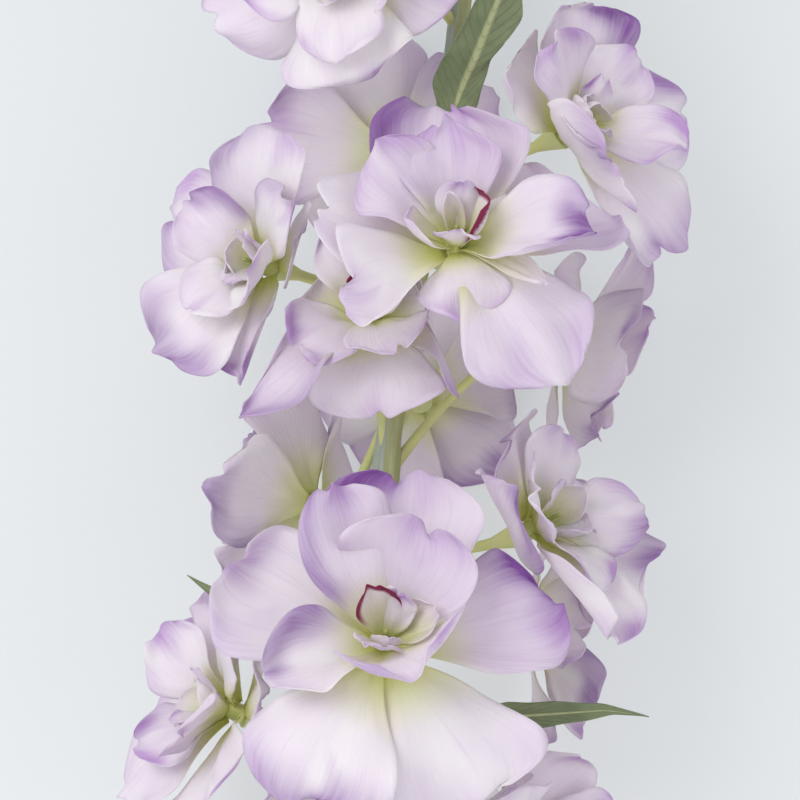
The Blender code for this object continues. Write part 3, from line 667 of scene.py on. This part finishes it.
class Skin:
    """A mesh in the making: corners with what the material needs to know at each, and faces."""

    def __init__(self):
        self.corners, self.faces, self.flush, self.place, self.slots = [], [], [], [], []
        self.count = 0

    def add(self, corners, faces, flush, place, slot=0):
        self.corners.append(corners)
        self.faces.append(faces + self.count)
        self.flush.append(flush)
        self.place.append(place)
        self.slots.append(np.full(len(faces), slot))
        self.count += len(corners)

    def add_sheet(self, points, thickness, flush_front, flush_back, place, slot=0):
        """A closed thin sheet on a grid of points. Its front is where it faces the heart's way."""
        rows, columns = points.shape[:2]
        normals = unit(np.cross(np.gradient(points, axis=0), np.gradient(points, axis=1)))
        number = np.arange(rows * columns).reshape(rows, columns)
        front = np.stack((number[:-1, :-1], number[1:, :-1], number[1:, 1:], number[:-1, 1:]), -1)
        front = front.reshape(-1, 4)
        back = front[:, ::-1] + rows * columns
        edge = np.concatenate((number[0, :-1], number[:-1, -1], number[-1, :0:-1], number[:0:-1, 0]))
        after = np.roll(edge, -1)
        rim = np.stack((edge, after, after + rows * columns, edge + rows * columns), -1)
        corners = np.concatenate([
            (points + normals * side).reshape(-1, 3) for side in (thickness / 2, -thickness / 2)
        ])
        corners[:, 2] = np.maximum(corners[:, 2], 0)
        self.add(
            corners, np.concatenate((front, back, rim)),
            np.concatenate((flush_front.reshape(-1, 4), flush_back.reshape(-1, 4))),
            np.concatenate((place.reshape(-1, 3),) * 2), slot,
        )

    def add_round(self, rings, flush, place, slot=0):
        """A closed round body through rings of corners, all with as many corners, closed at both ends."""
        count, sides = rings.shape[:2]
        number = np.arange(count * sides).reshape(count, sides)
        turned = np.roll(number, -1, axis=1)
        faces = np.stack((number[:-1], turned[:-1], turned[1:], number[1:]), -1).reshape(-1, 4)
        ends = rings.mean(axis=1)[[0, -1]]
        first, last = count * sides, count * sides + 1
        caps = np.concatenate((
            np.stack((turned[0], number[0], np.full(sides, first), np.full(sides, first)), -1),
            np.stack((number[-1], turned[-1], np.full(sides, last), np.full(sides, last)), -1),
        ))
        self.add(
            np.concatenate((rings.reshape(-1, 3), ends)), np.concatenate((faces, caps)),
            np.concatenate((flush.reshape(-1, 4), flush[0, :1], flush[-1, :1])),
            np.concatenate((place.reshape(-1, 3), place[0, :1], place[-1, :1])), slot,
        )

    def finish(self, name, materials):
        corners = np.concatenate(self.corners) - np.array(FOOT_MIDDLE)
        faces = np.concatenate(self.faces)
        data = bpy.data.meshes.new(name)
        data.from_pydata(corners.tolist(), [], [list(dict.fromkeys(face)) for face in faces.tolist()])
        data.polygons.foreach_set("use_smooth", [True] * len(data.polygons))
        data.polygons.foreach_set("material_index", np.concatenate(self.slots).astype(int))
        flush = data.color_attributes.new("flush", "FLOAT_COLOR", "POINT")
        flush.data.foreach_set("color", np.concatenate(self.flush).astype(np.float32).ravel())
        place = data.attributes.new("place", "FLOAT_VECTOR", "POINT")
        place.data.foreach_set("vector", np.concatenate(self.place).astype(np.float32).ravel())
        for finish in materials:
            data.materials.append(finish)
        return placed(name, data)


def masks(lilac, deep, throat, crimson):
    return np.stack(np.broadcast_arrays(lilac, deep, throat, crimson), axis=-1)


def petal_masks(u, v, rim_of):
    """How lilac, how purple and how green each point of a petal is, on its front and on its back."""
    flush = rim_of.flush
    around = around_of(u, v)
    rim = rim_of_blade(u, v, 1.1)
    outer = smoothstep((v - 0.12) / 0.4)
    uneven = np.clip(0.55 + 0.85 * rim_of.wander(around, 5), 0.0, 1.5)
    tip = smoothstep((v - 0.42 + 0.1 * rim_of.wander(2 * u, 6)) / 0.58)
    edge = np.clip((rim - 0.55) / 0.45, 0, 1) ** 2.2
    lilac = flush.wash * outer + flush.rim * (0.7 * tip**1.4 + 0.35 * edge * tip**0.5) * uneven
    aim = np.cos(around - math.radians(flush.towards))
    deep = flush.deep * smoothstep((aim - 0.1) / 0.9) * outer
    deep = deep * smoothstep((rim - 0.55 + 0.33 * flush.deep + 0.08 * rim_of.wander(around, 5)) / 0.6)
    throat = np.clip(1 - v / THROAT_FRONT, 0, 1) ** 1.5
    front = masks(lilac, deep, throat, 0)
    throat = np.clip(1 - v / THROAT_BACK, 0, 1) ** 1.3 * 0.75
    return front, masks(lilac * 0.85, deep * 0.8, throat, 0)


LIP_ROUGHNESS = 0.35
LIP_SHAPES = Whorl(4, 15, 90, 0, 0.36, 0.30, 62, 20, 0.3, 0.02, 1.5 * MM, 4.2 * MM, 0, ((0, 1, 2),))

# The smallest petals, curled in over the heart, which the solids leave out: which way round the
# heart in degrees, length and width in mm, rise and bend in degrees, cup, how lilac and how crimson.
Lip = namedtuple("Lip", "turn length width rise bend cup lilac crimson")
LIPS_BY_FLORET = {
    "a": (
        Lip(-20, 13, 12, 66, 4, 0.55, 0.0, 1.0), Lip(-58, 21, 5, 18, -18, 0.5, 0.1, 0.0),
        Lip(72, 12, 4, 74, 4, 0.9, 0.3, 0.0), Lip(170, 14, 9, 26, 44, 0.5, 0.9, 0.0),
        Lip(10, 13, 4, 34, -20, -0.6, 0.2, 0.0),
    ),
    "e": (
        Lip(80, 11, 9, 60, 20, 0.9, 0.0, 1.0), Lip(20, 12, 8, 50, 10, 0.6, 0.1, 0.0),
        Lip(200, 10, 6, 60, 20, 0.5, 0.5, 0.0),
    ),
    "g": (
        Lip(100, 15, 9, 68, 4, 0.4, 0.0, 1.0), Lip(10, 14, 9, 40, 20, 0.6, 0.3, 0.0),
        Lip(250, 10, 6, 60, 30, 0.5, 0.4, 0.0),
    ),
    "j": (
        Lip(60, 12, 8, 60, 20, 0.9, 0.0, 1.0), Lip(190, 12, 7, 56, 20, 0.6, 0.3, 0.0),
    ),
}


def drawn_lips(floret):
    """The curled petals of a floret whose own aren't given."""
    draw = random.Random(floret.name + " lips")
    return [Lip(
        draw.uniform(0, 360),
        floret.radius * draw.uniform(0.28, 0.4), floret.radius * draw.uniform(0.2, 0.34),
        draw.uniform(48, 78), draw.uniform(-10, 45), draw.uniform(0.1, 0.7), draw.uniform(0.05, 0.5), 0,
    ) for _ in range(3 if floret.full else 1)]


def dress_lips(skin, floret, u, v, matrix, walls):
    """Adds the curled petals over a floret's heart, some with a crimson rim."""
    for k, lip in enumerate(LIPS_BY_FLORET.get(floret.name[-1]) or drawn_lips(floret)):
        petal = Petal(
            turn=lip.turn, length=lip.length * MM, width=lip.width * MM,
            rise=lip.rise, bend=lip.bend, cup=lip.cup, ruffle=0.15 * MM, waves=2, phase=k, twist=0,
            sway=0.1 * (-1) ** k, height=3.8 * MM, level=k, whorl=LIP_SHAPES,
        )
        rim_of = Rim(f"{floret.name} lip {k}", Flush(0.05, lip.lilac, 0, 0, 0.2), LIP_ROUGHNESS)
        free = moved(petal_grid(petal, u.shape[1] - 1, u.shape[0] - 1, rim_of), matrix)
        points = hold(free, walls, SILK_THICKNESS / 2 + CLEARANCE, PETAL_SOFTNESS)
        front, back = petal_masks(u, v, rim_of)
        crimson = lip.crimson * smoothstep((v - 0.3) / 0.3)
        for flush, (start, reach) in ((front, CRIMSON_FRONT), (back, CRIMSON_BACK)):
            flush[..., 3] = crimson * smoothstep((rim_of_blade(u, v) - start) / reach)
        front[..., 2] = np.maximum(front[..., 2], 0.75 * (1 - v) ** 1.2)
        skin.add_sheet(points, SILK_THICKNESS, front, back, place_on(u, v, rim_of.seed * PLACE_SPREAD))


def dress_floret(floret, walls, silk, heart_green):
    """All of a floret's petals and its heart, as one piece."""
    letter = floret.name[-1]
    near = letter in NEAR_FLORETS
    rows, columns = (FINE_ROWS, FINE_COLUMNS) if near else (PLAIN_ROWS, PLAIN_COLUMNS)
    u, v = np.meshgrid(np.linspace(-1, 1, columns + 1), np.linspace(0, 1, rows + 1))
    matrix, facing = floret_matrix(floret), facing_of(floret)
    skin = Skin()
    whorls = whorls_of(floret)
    for petal in petals_of(floret):
        key = (letter, whorls.index(petal.whorl), petal.level)
        rim_of = Rim(f"{floret.name} {petal.turn:.2f}", FLUSHES.get(key))
        free = moved(petal_grid(petal, columns, rows, rim_of), matrix)
        points = hold(
            free, walls, SILK_THICKNESS / 2 + CLEARANCE, PETAL_SOFTNESS, facing,
            petal.level, petal.whorl.count,
        )
        front, back = petal_masks(u, v, rim_of)
        skin.add_sheet(points, SILK_THICKNESS, front, back, place_on(u, v, rim_of.seed * PLACE_SPREAD))
    dress_lips(skin, floret, u, v, matrix, walls)
    add_heart(skin, floret, matrix)
    obj = skin.finish(floret.name + "_petals", (silk, heart_green))
    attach(obj, "root")
    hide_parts(floret.name)
    return obj


def add_heart(skin, floret, matrix):
    """The green heart with its pistil, as one turned body."""
    profile = (
        (-0.25, 0.3), (0.0, 2.0), (0.8, 2.05), (2.2, 1.8), (3.6, 1.45), (4.6, 1.15), (5.4, 0.75),
        (6.6, 0.5), (8.2, 0.42), (9.2, 0.5), (9.6, 0.2),
    )
    top = profile[-1][0]
    angles = np.linspace(0, 2 * math.pi, HEART_SIDES, endpoint=False)

    def ring(radius, height):
        lobed = [radius * MM * (1 + 0.1 * math.cos(3 * a)) for a in angles]
        return [(r * math.cos(a), r * math.sin(a), height * MM) for r, a in zip(lobed, angles)]

    rings = np.array([ring(radius, height) for height, radius in profile])
    heights = np.array([height for height, _ in profile])[:, None] / top + 0 * angles
    place = place_on(0 * heights + np.cos(angles), heights, len(floret.name))
    skin.add_round(moved(rings, matrix), masks(0, 0, 1 - heights, 0), place, 1)


def dress_leaf(leaf, walls, green):
    """A leaf's blade, with its back marked so that the material can make it paler."""
    u, v = np.meshgrid(np.linspace(-1, 1, LEAF_COLUMNS + 1), np.linspace(0, 1, LEAF_ROWS + 1))
    points = held_leaf(leaf_grid(leaf, LEAF_COLUMNS, LEAF_ROWS, True), walls)
    front, back = np.zeros((2,) + u.shape + (4,))
    back[..., 0] = 1
    skin = Skin()
    skin.add_sheet(points, BLADE_THICKNESS, front, back, place_on(u, v, leaf.along * 0.37))
    obj = skin.finish(leaf.name + "_blade", (green,))
    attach(obj, "root")
    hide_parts(leaf.name)
    return obj


def dress_bud(bud, silk):
    """A closed bud: petals wrapped round each other, with a seam where each one ends."""
    side = bud.facing.orthogonal().normalized()
    up = bud.facing.cross(side)
    profile = np.array(((0.0, 0.45), (0.22, 0.9), (0.52, 1.0), (0.84, 0.55), (1.0, 0.04)))
    heights = np.linspace(0, 1, BUD_ROWS + 1)
    widths = np.interp(heights, profile[:, 0], profile[:, 1])
    widths = np.convolve(np.pad(widths, 2, mode="edge"), (0.1, 0.2, 0.4, 0.2, 0.1), "valid")
    angles = np.linspace(0, 2 * math.pi, BUD_SIDES, endpoint=False)
    wrap = (angles * 4 / (2 * math.pi) + heights[:, None] * 0.9) % 1
    folds = 0.12 * (wrap - 0.5) * np.sin(math.pi * heights)[:, None]
    radius = bud.radius * widths[:, None] * (1 + 0.10 * np.cos(4 * angles) + folds)
    axes = [np.array(x)[None, None, :] for x in (side, up, bud.facing)]
    rings = (
        np.array(bud.base) + axes[2] * (heights[:, None, None] * bud.length)
        + axes[0] * (radius * np.cos(angles))[..., None] + axes[1] * (radius * np.sin(angles))[..., None]
    )
    tall = heights[:, None] + 0 * angles
    seam = smoothstep((wrap - 0.8) / 0.2) * 0.8
    purple = 0.55 * smoothstep((tall - 0.72) / 0.3)
    flush = masks(0.35 + 0.5 * tall * seam, purple, np.clip(1 - tall / 0.6, 0, 1) * 0.9, 0)
    skin = Skin()
    skin.add_round(rings, flush, place_on(np.cos(angles) + 0 * tall, tall, bud.length * 900))
    obj = skin.finish(bud.name + "_petals", (silk,))
    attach(obj, "root")
    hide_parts(bud.name)
    return obj


def path_object(name, routes):
    """Lines in space, each a route of (point, radius, share of its length)."""
    corners, edges, radii, shares = [], [], [], []
    for route in routes:
        edges += [(len(corners) + k, len(corners) + k + 1) for k in range(len(route) - 1)]
        for point, radius, share in route:
            corners.append(Vector(point) - FOOT_MIDDLE)
            radii.append(radius)
            shares.append(share)
    data = bpy.data.meshes.new(name)
    data.from_pydata(corners, edges, [])
    for title, values in (("width", radii), ("share", shares)):
        data.attributes.new(title, "FLOAT", "POINT").data.foreach_set("value", values)
    return placed(name, data)


def ribbed_tree():
    """A node tree that grows a ribbed round bar along each line of a mesh."""
    tree = bpy.data.node_groups.new("ribbed bar", "GeometryNodeTree")
    for title, kind, value in (
        ("Geometry", "NodeSocketGeometry", None), ("Sides", "NodeSocketInt", 24),
        ("Ribs", "NodeSocketInt", 6), ("Rib height", "NodeSocketFloat", 0.06),
        ("Finish", "NodeSocketMaterial", None),
    ):
        socket = tree.interface.new_socket(title, in_out="INPUT", socket_type=kind)
        if value is not None:
            socket.default_value = value
    tree.interface.new_socket("Geometry", in_out="OUTPUT", socket_type="NodeSocketGeometry")
    n = Nodes(tree)
    given = n.new("NodeGroupInput").outputs
    around = n.new("GeometryNodeSplineParameter").outputs["Factor"]
    turns = n.math("MULTIPLY", n.math("MULTIPLY", around, 2 * math.pi), given["Ribs"])
    ribbed = n.new("VectorMath", operation="SCALE")
    n.put(n.new("GeometryNodeInputPosition").outputs[0], ribbed.inputs[0])
    n.put(n.math("MULTIPLY_ADD", n.math("COSINE", turns), given["Rib height"], 1.0), ribbed.inputs["Scale"])
    circle = n.fed("GeometryNodeCurvePrimitiveCircle", Resolution=given["Sides"], Radius=1).outputs[0]
    profile = n.fed("GeometryNodeSetPosition", Geometry=circle, Position=ribbed.outputs[0]).outputs[0]
    width = n.fed("GeometryNodeInputNamedAttribute", Name="width").outputs["Attribute"]
    line = n.fed("GeometryNodeMeshToCurve", Mesh=given["Geometry"]).outputs[0]
    line = n.fed("GeometryNodeSetCurveRadius", Curve=line, Radius=width).outputs[0]
    sweep = n.fed("GeometryNodeCurveToMesh", Curve=line, Profile_Curve=profile, Fill_Caps=True)
    if "Scale" in sweep.inputs:
        n.put(width, sweep.inputs["Scale"])
    bars = n.fed("GeometryNodeSetShadeSmooth", Geometry=sweep.outputs[0]).outputs[0]
    bars = n.fed("GeometryNodeRealizeInstances", Geometry=bars).outputs[0]
    bars = n.fed("GeometryNodeSetMaterial", Geometry=bars, Material=given["Finish"]).outputs[0]
    n.put(bars, n.new("NodeGroupOutput").inputs[0])
    return tree


def grown(obj, tree, **values):
    """The plain mesh that a node tree makes from this object, with its inputs set by their titles."""
    modifier = obj.modifiers.new("grow", "NODES")
    modifier.node_group = tree
    for item in tree.interface.items_tree:
        if item.in_out == "INPUT" and item.name.replace(" ", "_").lower() in values:
            modifier[item.identifier] = values[item.name.replace(" ", "_").lower()]
    graph = bpy.context.evaluated_depsgraph_get()
    made = bpy.data.meshes.new_from_object(obj.evaluated_get(graph))
    obj.modifiers.remove(modifier)
    obj.data = made
    return obj


def stalk_path(floret):
    """A stalk's line on the same route as its solid, smoothly, with its widths."""
    rough = stalk_route(floret)
    shares = np.linspace(0, 1, STALK_ROWS + 1)
    spots = np.linspace(0, 1, len(rough))
    smooth = []
    for share in shares:
        i = min(int(share * (len(rough) - 1)), len(rough) - 2)
        t = share * (len(rough) - 1) - i
        p = [rough[max(min(i + j, len(rough) - 1), 0)] for j in (-1, 0, 1, 2)]
        smooth.append((
            p[1] * 2 + (p[2] - p[0]) * t + (p[0] * 2 - p[1] * 5 + p[2] * 4 - p[3]) * t**2
            + (p[1] * 3 - p[0] - p[2] * 3 + p[3]) * t**3
        ) / 2)
    widths = np.interp(shares, spots, [stalk_radius(s) for s in spots])
    widths[-1] *= 0.92
    return [(point, width, share) for point, width, share in zip(smooth, widths, shares)]


def dress_stem(finish):
    """The ribbed stem with its joints as one piece, and every stalk together as a second."""
    tree = ribbed_tree()
    foot, tip = STEM_ROUTE[0].y, STEM_ROUTE[-1].y
    roots = [stalk_route(f)[0].y for f in all_florets()]
    line = []
    for y in np.linspace(foot, tip, STEM_ROWS):
        joint = sum(math.exp(-(((y - root) / JOINT_LENGTH) ** 2)) for root in roots)
        radius = stem_radius(y) * (1 + JOINT_SWELL * min(joint, 1.2))
        line.append((stem_point(y), radius, (y - foot) / (tip - foot)))
    stem = grown(path_object("ribbed_stem", [line]), tree, sides=48, ribs=7, rib_height=0.07, finish=finish)
    tips = buds()
    routes = [stalk_path(f) for f in all_florets()]
    for bud in tips:
        points = bud_stalk(bud, bud is tips[-1])
        spots = np.linspace(0, 1, 4)
        shares = np.linspace(0, 1, 13)
        dense = np.stack([np.interp(shares, spots, [p[i] for p in points]) for i in range(3)], -1)
        widths = np.interp(shares, spots, [STALK_RADIUS * r for r in (1.1, 0.8, 0.8, 1.7)])
        routes.append(list(zip(dense, widths, shares)))
    stalks = grown(path_object("stalks", routes), tree, sides=18, ribs=3, rib_height=0.05, finish=finish)
    for obj in (stem, stalks):
        obj.data.materials.clear()
        obj.data.materials.append(finish)
        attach(obj, "root")
    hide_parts("stem")
    return stem, stalks


class Nodes:
    """A short way to build a node tree, in which "ShaderNode" can be left out of a kind."""

    def __init__(self, tree):
        self.tree = tree

    def new(self, kind, **settings):
        node = self.tree.nodes.new(kind if "Node" in kind else "ShaderNode" + kind)
        for key, value in settings.items():
            setattr(node, key, value)
        return node

    def put(self, value, socket):
        """Links an input to this socket, or sets it to this value."""
        if isinstance(value, bpy.types.NodeSocket):
            self.tree.links.new(value, socket)
        else:
            socket.default_value = value

    def fed(self, kind, **inputs):
        """A new node with its inputs filled by their titles."""
        node = self.new(kind)
        for title, value in inputs.items():
            self.put(value, node.inputs[title.replace("_", " ")])
        return node

    def made_of(self, values, kind, **settings):
        """What a new node makes of these values, in the order of its inputs."""
        node = self.new(kind, **settings)
        for value, socket in zip(values, node.inputs):
            self.put(value, socket)
        return node.outputs[0]

    def math(self, operation, a, b=0.0, c=0.0, clamp=False):
        return self.made_of((a, b, c), "Math", operation=operation, use_clamp=clamp)


class Finish(Nodes):
    """A short way to build a material."""

    def __init__(self, name):
        self.material = bpy.data.materials.new(name)
        self.material.use_nodes = True
        super().__init__(self.material.node_tree)
        self.tree.nodes.clear()

    def mix(self, share, a, b, kind="MIX"):
        return self.made_of((share, a, b), "MixRGB", blend_type=kind)

    def noise(self, vector, scale, detail=3.0, rough=0.5):
        node = self.fed("TexNoise", Vector=vector, Scale=scale, Detail=detail, Roughness=rough)
        return node.outputs["Fac"]

    def attribute(self, name, output):
        return self.new("Attribute", attribute_name=name).outputs[output]

    def in_space(self, output="Object"):
        return self.new("TexCoord").outputs[output]

    def parts(self, kind, value):
        """A colour's or a vector's three numbers."""
        node = self.new("Separate" + kind)
        self.put(value, node.inputs[0])
        return node.outputs

    def spread(self, value, low, high, to_low=0.0, to_high=1.0):
        return self.made_of((value, low, high, to_low, to_high), "MapRange")

    def bump(self, strength, depth, height):
        return self.fed("Bump", Strength=strength, Distance=depth, Height=height).outputs[0]

    def skin(self, colour, roughness, normal, **more):
        return self.fed("BsdfPrincipled", Base_Color=colour, Roughness=roughness, Normal=normal, **more)

    def finished(self, first, second=None, share=0.0):
        """The material, with one shader or a mix of two as its surface."""
        surface = first.outputs[0]
        if second is not None:
            surface = self.made_of((share, surface, second.outputs[0]), "MixShader")
        self.fed("OutputMaterial", Surface=surface)
        return self.material


CREAM = (0.90, 0.87, 0.885, 1)
WHITE = (0.93, 0.93, 0.90, 1)
FLUSH_LILAC = (0.62, 0.43, 0.70, 1)
FLUSH_PURPLE = (0.31, 0.12, 0.43, 1)
THROAT_GREEN = (0.74, 0.78, 0.25, 1)
CRIMSON = (0.32, 0.03, 0.10, 1)
VEIN_MAUVE = (0.55, 0.42, 0.56, 1)
LIGHT_THROUGH_PETALS = 0.42
LIGHT_THROUGH_LEAVES = 0.2
# How strongly the floor glows: painted light that lightens the shadows cast on it.
FLOOR_PAINTED_LIGHT = 0.55


def petal_material():
    """Pale silk: cream flushed with lilac and purple, green at the throat, veined along the petal."""
    n = Finish("petal silk")
    place = n.attribute("place", "Vector")
    lilac, deep, throat = n.parts("Color", n.attribute("flush", "Color"))
    across, along, seed = n.parts("XYZ", place)
    fan = n.math("DIVIDE", across, n.math("MULTIPLY_ADD", along, 0.6, 0.6))
    veins_at = (n.math("MULTIPLY", fan, 9.0), n.math("MULTIPLY", along, 0.9), seed)
    veins = n.noise(n.made_of(veins_at, "CombineXYZ"), 2.2, 4.0, 0.6)
    cloud = n.noise(place, 1.7, 2.0)
    grain = n.noise(n.in_space(), 2600.0, 2.0)
    uneven = n.spread(cloud, 0.3, 0.7, 0.5, 1.35)
    streaky = n.math("MULTIPLY", uneven, n.spread(veins, 0.3, 0.7, 0.80, 1.18))
    colour = n.mix(n.spread(cloud, 0.35, 0.65), CREAM, WHITE)
    colour = n.mix(n.math("MULTIPLY", lilac, streaky, clamp=True), colour, FLUSH_LILAC)
    colour = n.mix(n.math("MULTIPLY", deep, streaky, clamp=True), colour, FLUSH_PURPLE)
    colour = n.mix(n.math("MULTIPLY", throat, 1.3, clamp=True), colour, THROAT_GREEN)
    colour = n.mix(n.attribute("flush", "Alpha"), colour, CRIMSON)
    colour = n.mix(n.spread(veins, 0.56, 0.70, 0.0, 0.10), colour, VEIN_MAUVE)
    bump = n.bump(0.35, 0.0004, n.math("MULTIPLY_ADD", grain, 0.25, veins))
    roughness = n.spread(cloud, 0.2, 0.8, 0.55, 0.75)
    silk = n.skin(colour, roughness, bump, Sheen_Weight=0.12, Specular_IOR_Level=0.25)
    warm = n.mix(1.0, colour, (1.0, 0.93, 1.0, 1), "MULTIPLY")
    return n.finished(silk, n.fed("BsdfTranslucent", Color=warm, Normal=bump), LIGHT_THROUGH_PETALS)


def heart_material():
    """The heart: yellow-green at its foot, olive along the pistil."""
    n = Finish("heart green")
    height = n.parts("XYZ", n.attribute("place", "Vector"))[1]
    speckle = n.noise(n.in_space(), 900.0, 3.0)
    colour = n.mix(n.spread(height, 0.25, 0.7), (0.56, 0.60, 0.20, 1), (0.30, 0.33, 0.09, 1))
    colour = n.mix(n.spread(speckle, 0.45, 0.65, 0, 0.35), colour, (0.62, 0.58, 0.26, 1))
    return n.finished(n.skin(colour, n.spread(speckle, 0.3, 0.7, 0.4, 0.6), n.bump(0.4, 0.0003, speckle)))


def stem_material():
    """A stem that is grey-green down one side and olive down the other, with yellow-green stalks."""
    n = Finish("stem skin")
    share = n.attribute("share", "Fac")
    stretched = n.fed("Mapping", Vector=n.in_space(), Scale=(900, 60, 900))
    fibre = n.noise(stretched.outputs[0], 1.0, 4.0, 0.6)
    patch = n.noise(n.in_space(), 90.0, 3.0)
    fine = n.noise(n.in_space(), 1500.0, 2.0)
    leftward = n.parts("XYZ", n.in_space("Normal"))[0]
    side = n.math("MULTIPLY_ADD", n.math("SUBTRACT", patch, 0.5), 0.5, leftward)
    main = n.mix(n.spread(side, -0.15, 0.15), (0.30, 0.345, 0.275, 1), (0.32, 0.33, 0.13, 1))
    stalk = n.mix(n.spread(patch, 0.4, 0.6), (0.62, 0.62, 0.24, 1), (0.50, 0.52, 0.19, 1))
    stalk = n.mix(n.spread(share, 0.0, 0.14, 0.75, 0.0), stalk, (0.22, 0.17, 0.07, 1))
    stalk = n.mix(n.spread(share, 0.68, 0.98), stalk, (0.55, 0.58, 0.24, 1))
    colour = n.mix(n.attribute("main", "Fac"), stalk, main)
    colour = n.mix(n.spread(fibre, 0.5, 0.75, 0, 0.45), colour, (0.52, 0.54, 0.36, 1))
    bump = n.bump(0.5, 0.0003, n.math("MULTIPLY_ADD", fine, 0.3, fibre))
    return n.finished(n.skin(colour, n.spread(fibre, 0.3, 0.7, 0.38, 0.6), bump))


def leaf_material():
    """A matt leaf with a pale rib, side veins and a paler back."""
    n = Finish("leaf green")
    back = n.parts("Color", n.attribute("flush", "Color"))[0]
    across, along = n.parts("XYZ", n.attribute("place", "Vector"))[:2]
    off = n.math("ABSOLUTE", across)
    rib = n.spread(off, 0.06, 0.15, 1.0, 0.0)
    slanted = n.math("SUBTRACT", along, n.math("MULTIPLY", off, 0.22))
    veins = n.spread(n.math("SINE", n.math("MULTIPLY", slanted, 95.0)), 0.82, 1.0, 0.0, 1.0)
    cloud = n.noise(n.in_space(), 160.0, 4.0, 0.6)
    colour = n.mix(n.spread(cloud, 0.35, 0.65), (0.19, 0.235, 0.115, 1), (0.26, 0.31, 0.155, 1))
    colour = n.mix(n.math("MULTIPLY", veins, 0.35), colour, (0.33, 0.40, 0.22, 1))
    colour = n.mix(n.math("MULTIPLY", rib, 0.85), colour, (0.60, 0.64, 0.33, 1))
    colour = n.mix(n.math("MULTIPLY", back, 0.55), colour, (0.34, 0.40, 0.28, 1))
    raised = n.math("ADD", n.math("ADD", veins, rib), n.math("MULTIPLY", cloud, 0.6))
    skin = n.skin(colour, n.spread(cloud, 0.3, 0.7, 0.42, 0.62), n.bump(0.6, 0.0005, raised))
    return n.finished(skin, n.fed("BsdfTranslucent", Color=colour), LIGHT_THROUGH_LEAVES)


def floor_material():
    """A pale matt floor with painted light: it glows a little to lighten the shadows cast on it, and it is
    paler and darker in broad patches where painted light falls unevenly.
    """
    n = Finish("pale floor")
    # Broad paler and darker patches: painted light falling unevenly on the floor.
    cloud = n.noise(n.in_space(), 2.2, 1.0)
    colour = n.mix(n.spread(cloud, 0.3, 0.7), (0.695, 0.728, 0.742, 1), (0.765, 0.782, 0.790, 1))
    # The glow is painted light that lightens the shadows on the floor.
    matt, painted_fill = n.fed("BsdfDiffuse", Color=colour), n.fed("Emission", Color=colour, Strength=1.0)
    return n.finished(matt, painted_fill, FLOOR_PAINTED_LIGHT)


FLOOR_HALF = 1.6
CAMERA_HEIGHT = 0.9
VIEW_WIDTH = 0.16
VIEW_HEIGHT = 0.06
FILM_WIDTH = 36
# name, place in metres, size in metres, power in watts
LAMPS = (
    ("key", (-0.75, 0.55, 1.15), 0.9, 11),
    ("fill", (0.95, -0.25, 0.9), 1.0, 3),
    ("low", (-0.3, -1.1, 0.5), 0.8, 3),
)


def set_stage():
    """The floor, the light and the camera."""
    data = bpy.data.meshes.new("floor")
    corners = [(x * FLOOR_HALF, y * FLOOR_HALF, 0) for x, y in ((-1, -1), (1, -1), (1, 1), (-1, 1))]
    data.from_pydata(corners, [], [(0, 1, 2, 3)])
    data.materials.append(floor_material())
    floor = placed("floor", data)
    world = bpy.data.worlds.new("soft room")
    bpy.context.scene.world = world
    world.use_nodes = True
    sky = world.node_tree.nodes["Background"]
    sky.inputs["Color"].default_value = (0.93, 0.95, 1.0, 1)
    sky.inputs["Strength"].default_value = 0.86
    for name, spot, size, power in LAMPS:
        lamp = bpy.data.lights.new(name, "AREA")
        lamp.energy, lamp.size = power, size
        holder = placed(name, lamp)
        holder.location = spot
        holder.rotation_euler = Vector(spot).to_track_quat("Z", "Y").to_euler()
    camera = bpy.data.cameras.new("camera")
    camera.sensor_width = FILM_WIDTH
    camera.lens = FILM_WIDTH * (CAMERA_HEIGHT - VIEW_HEIGHT) / VIEW_WIDTH
    holder = placed("camera", camera)
    holder.location = Vector((0, 0, CAMERA_HEIGHT)) - FOOT_MIDDLE
    bpy.context.scene.camera = holder
    bpy.context.scene.view_settings.view_transform = "Standard"


def mark(obj, title, value):
    """Gives every corner of a mesh the same number under this title."""
    data = obj.data
    data.attributes.new(title, "FLOAT", "POINT").data.foreach_set("value", [value] * len(data.vertices))


def main():
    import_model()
    silk, heart_green = petal_material(), heart_material()
    stem_skin, leaf_green = stem_material(), leaf_material()
    stalks = {floret.name: stalk_route(floret) for floret in all_florets()}
    everything = items()
    walls = {item.name: planes_round(item, everything, stalks) for item in everything}
    for floret in all_florets():
        dress_floret(floret, walls[floret.name], silk, heart_green)
    for leaf in LEAVES:
        dress_leaf(leaf, walls[leaf.name], leaf_green)
    for bud in buds():
        dress_bud(bud, silk)
    stem, branches = dress_stem(stem_skin)
    mark(stem, "main", 1.0)
    mark(branches, "main", 0.0)
    set_stage()
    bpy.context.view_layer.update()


main()
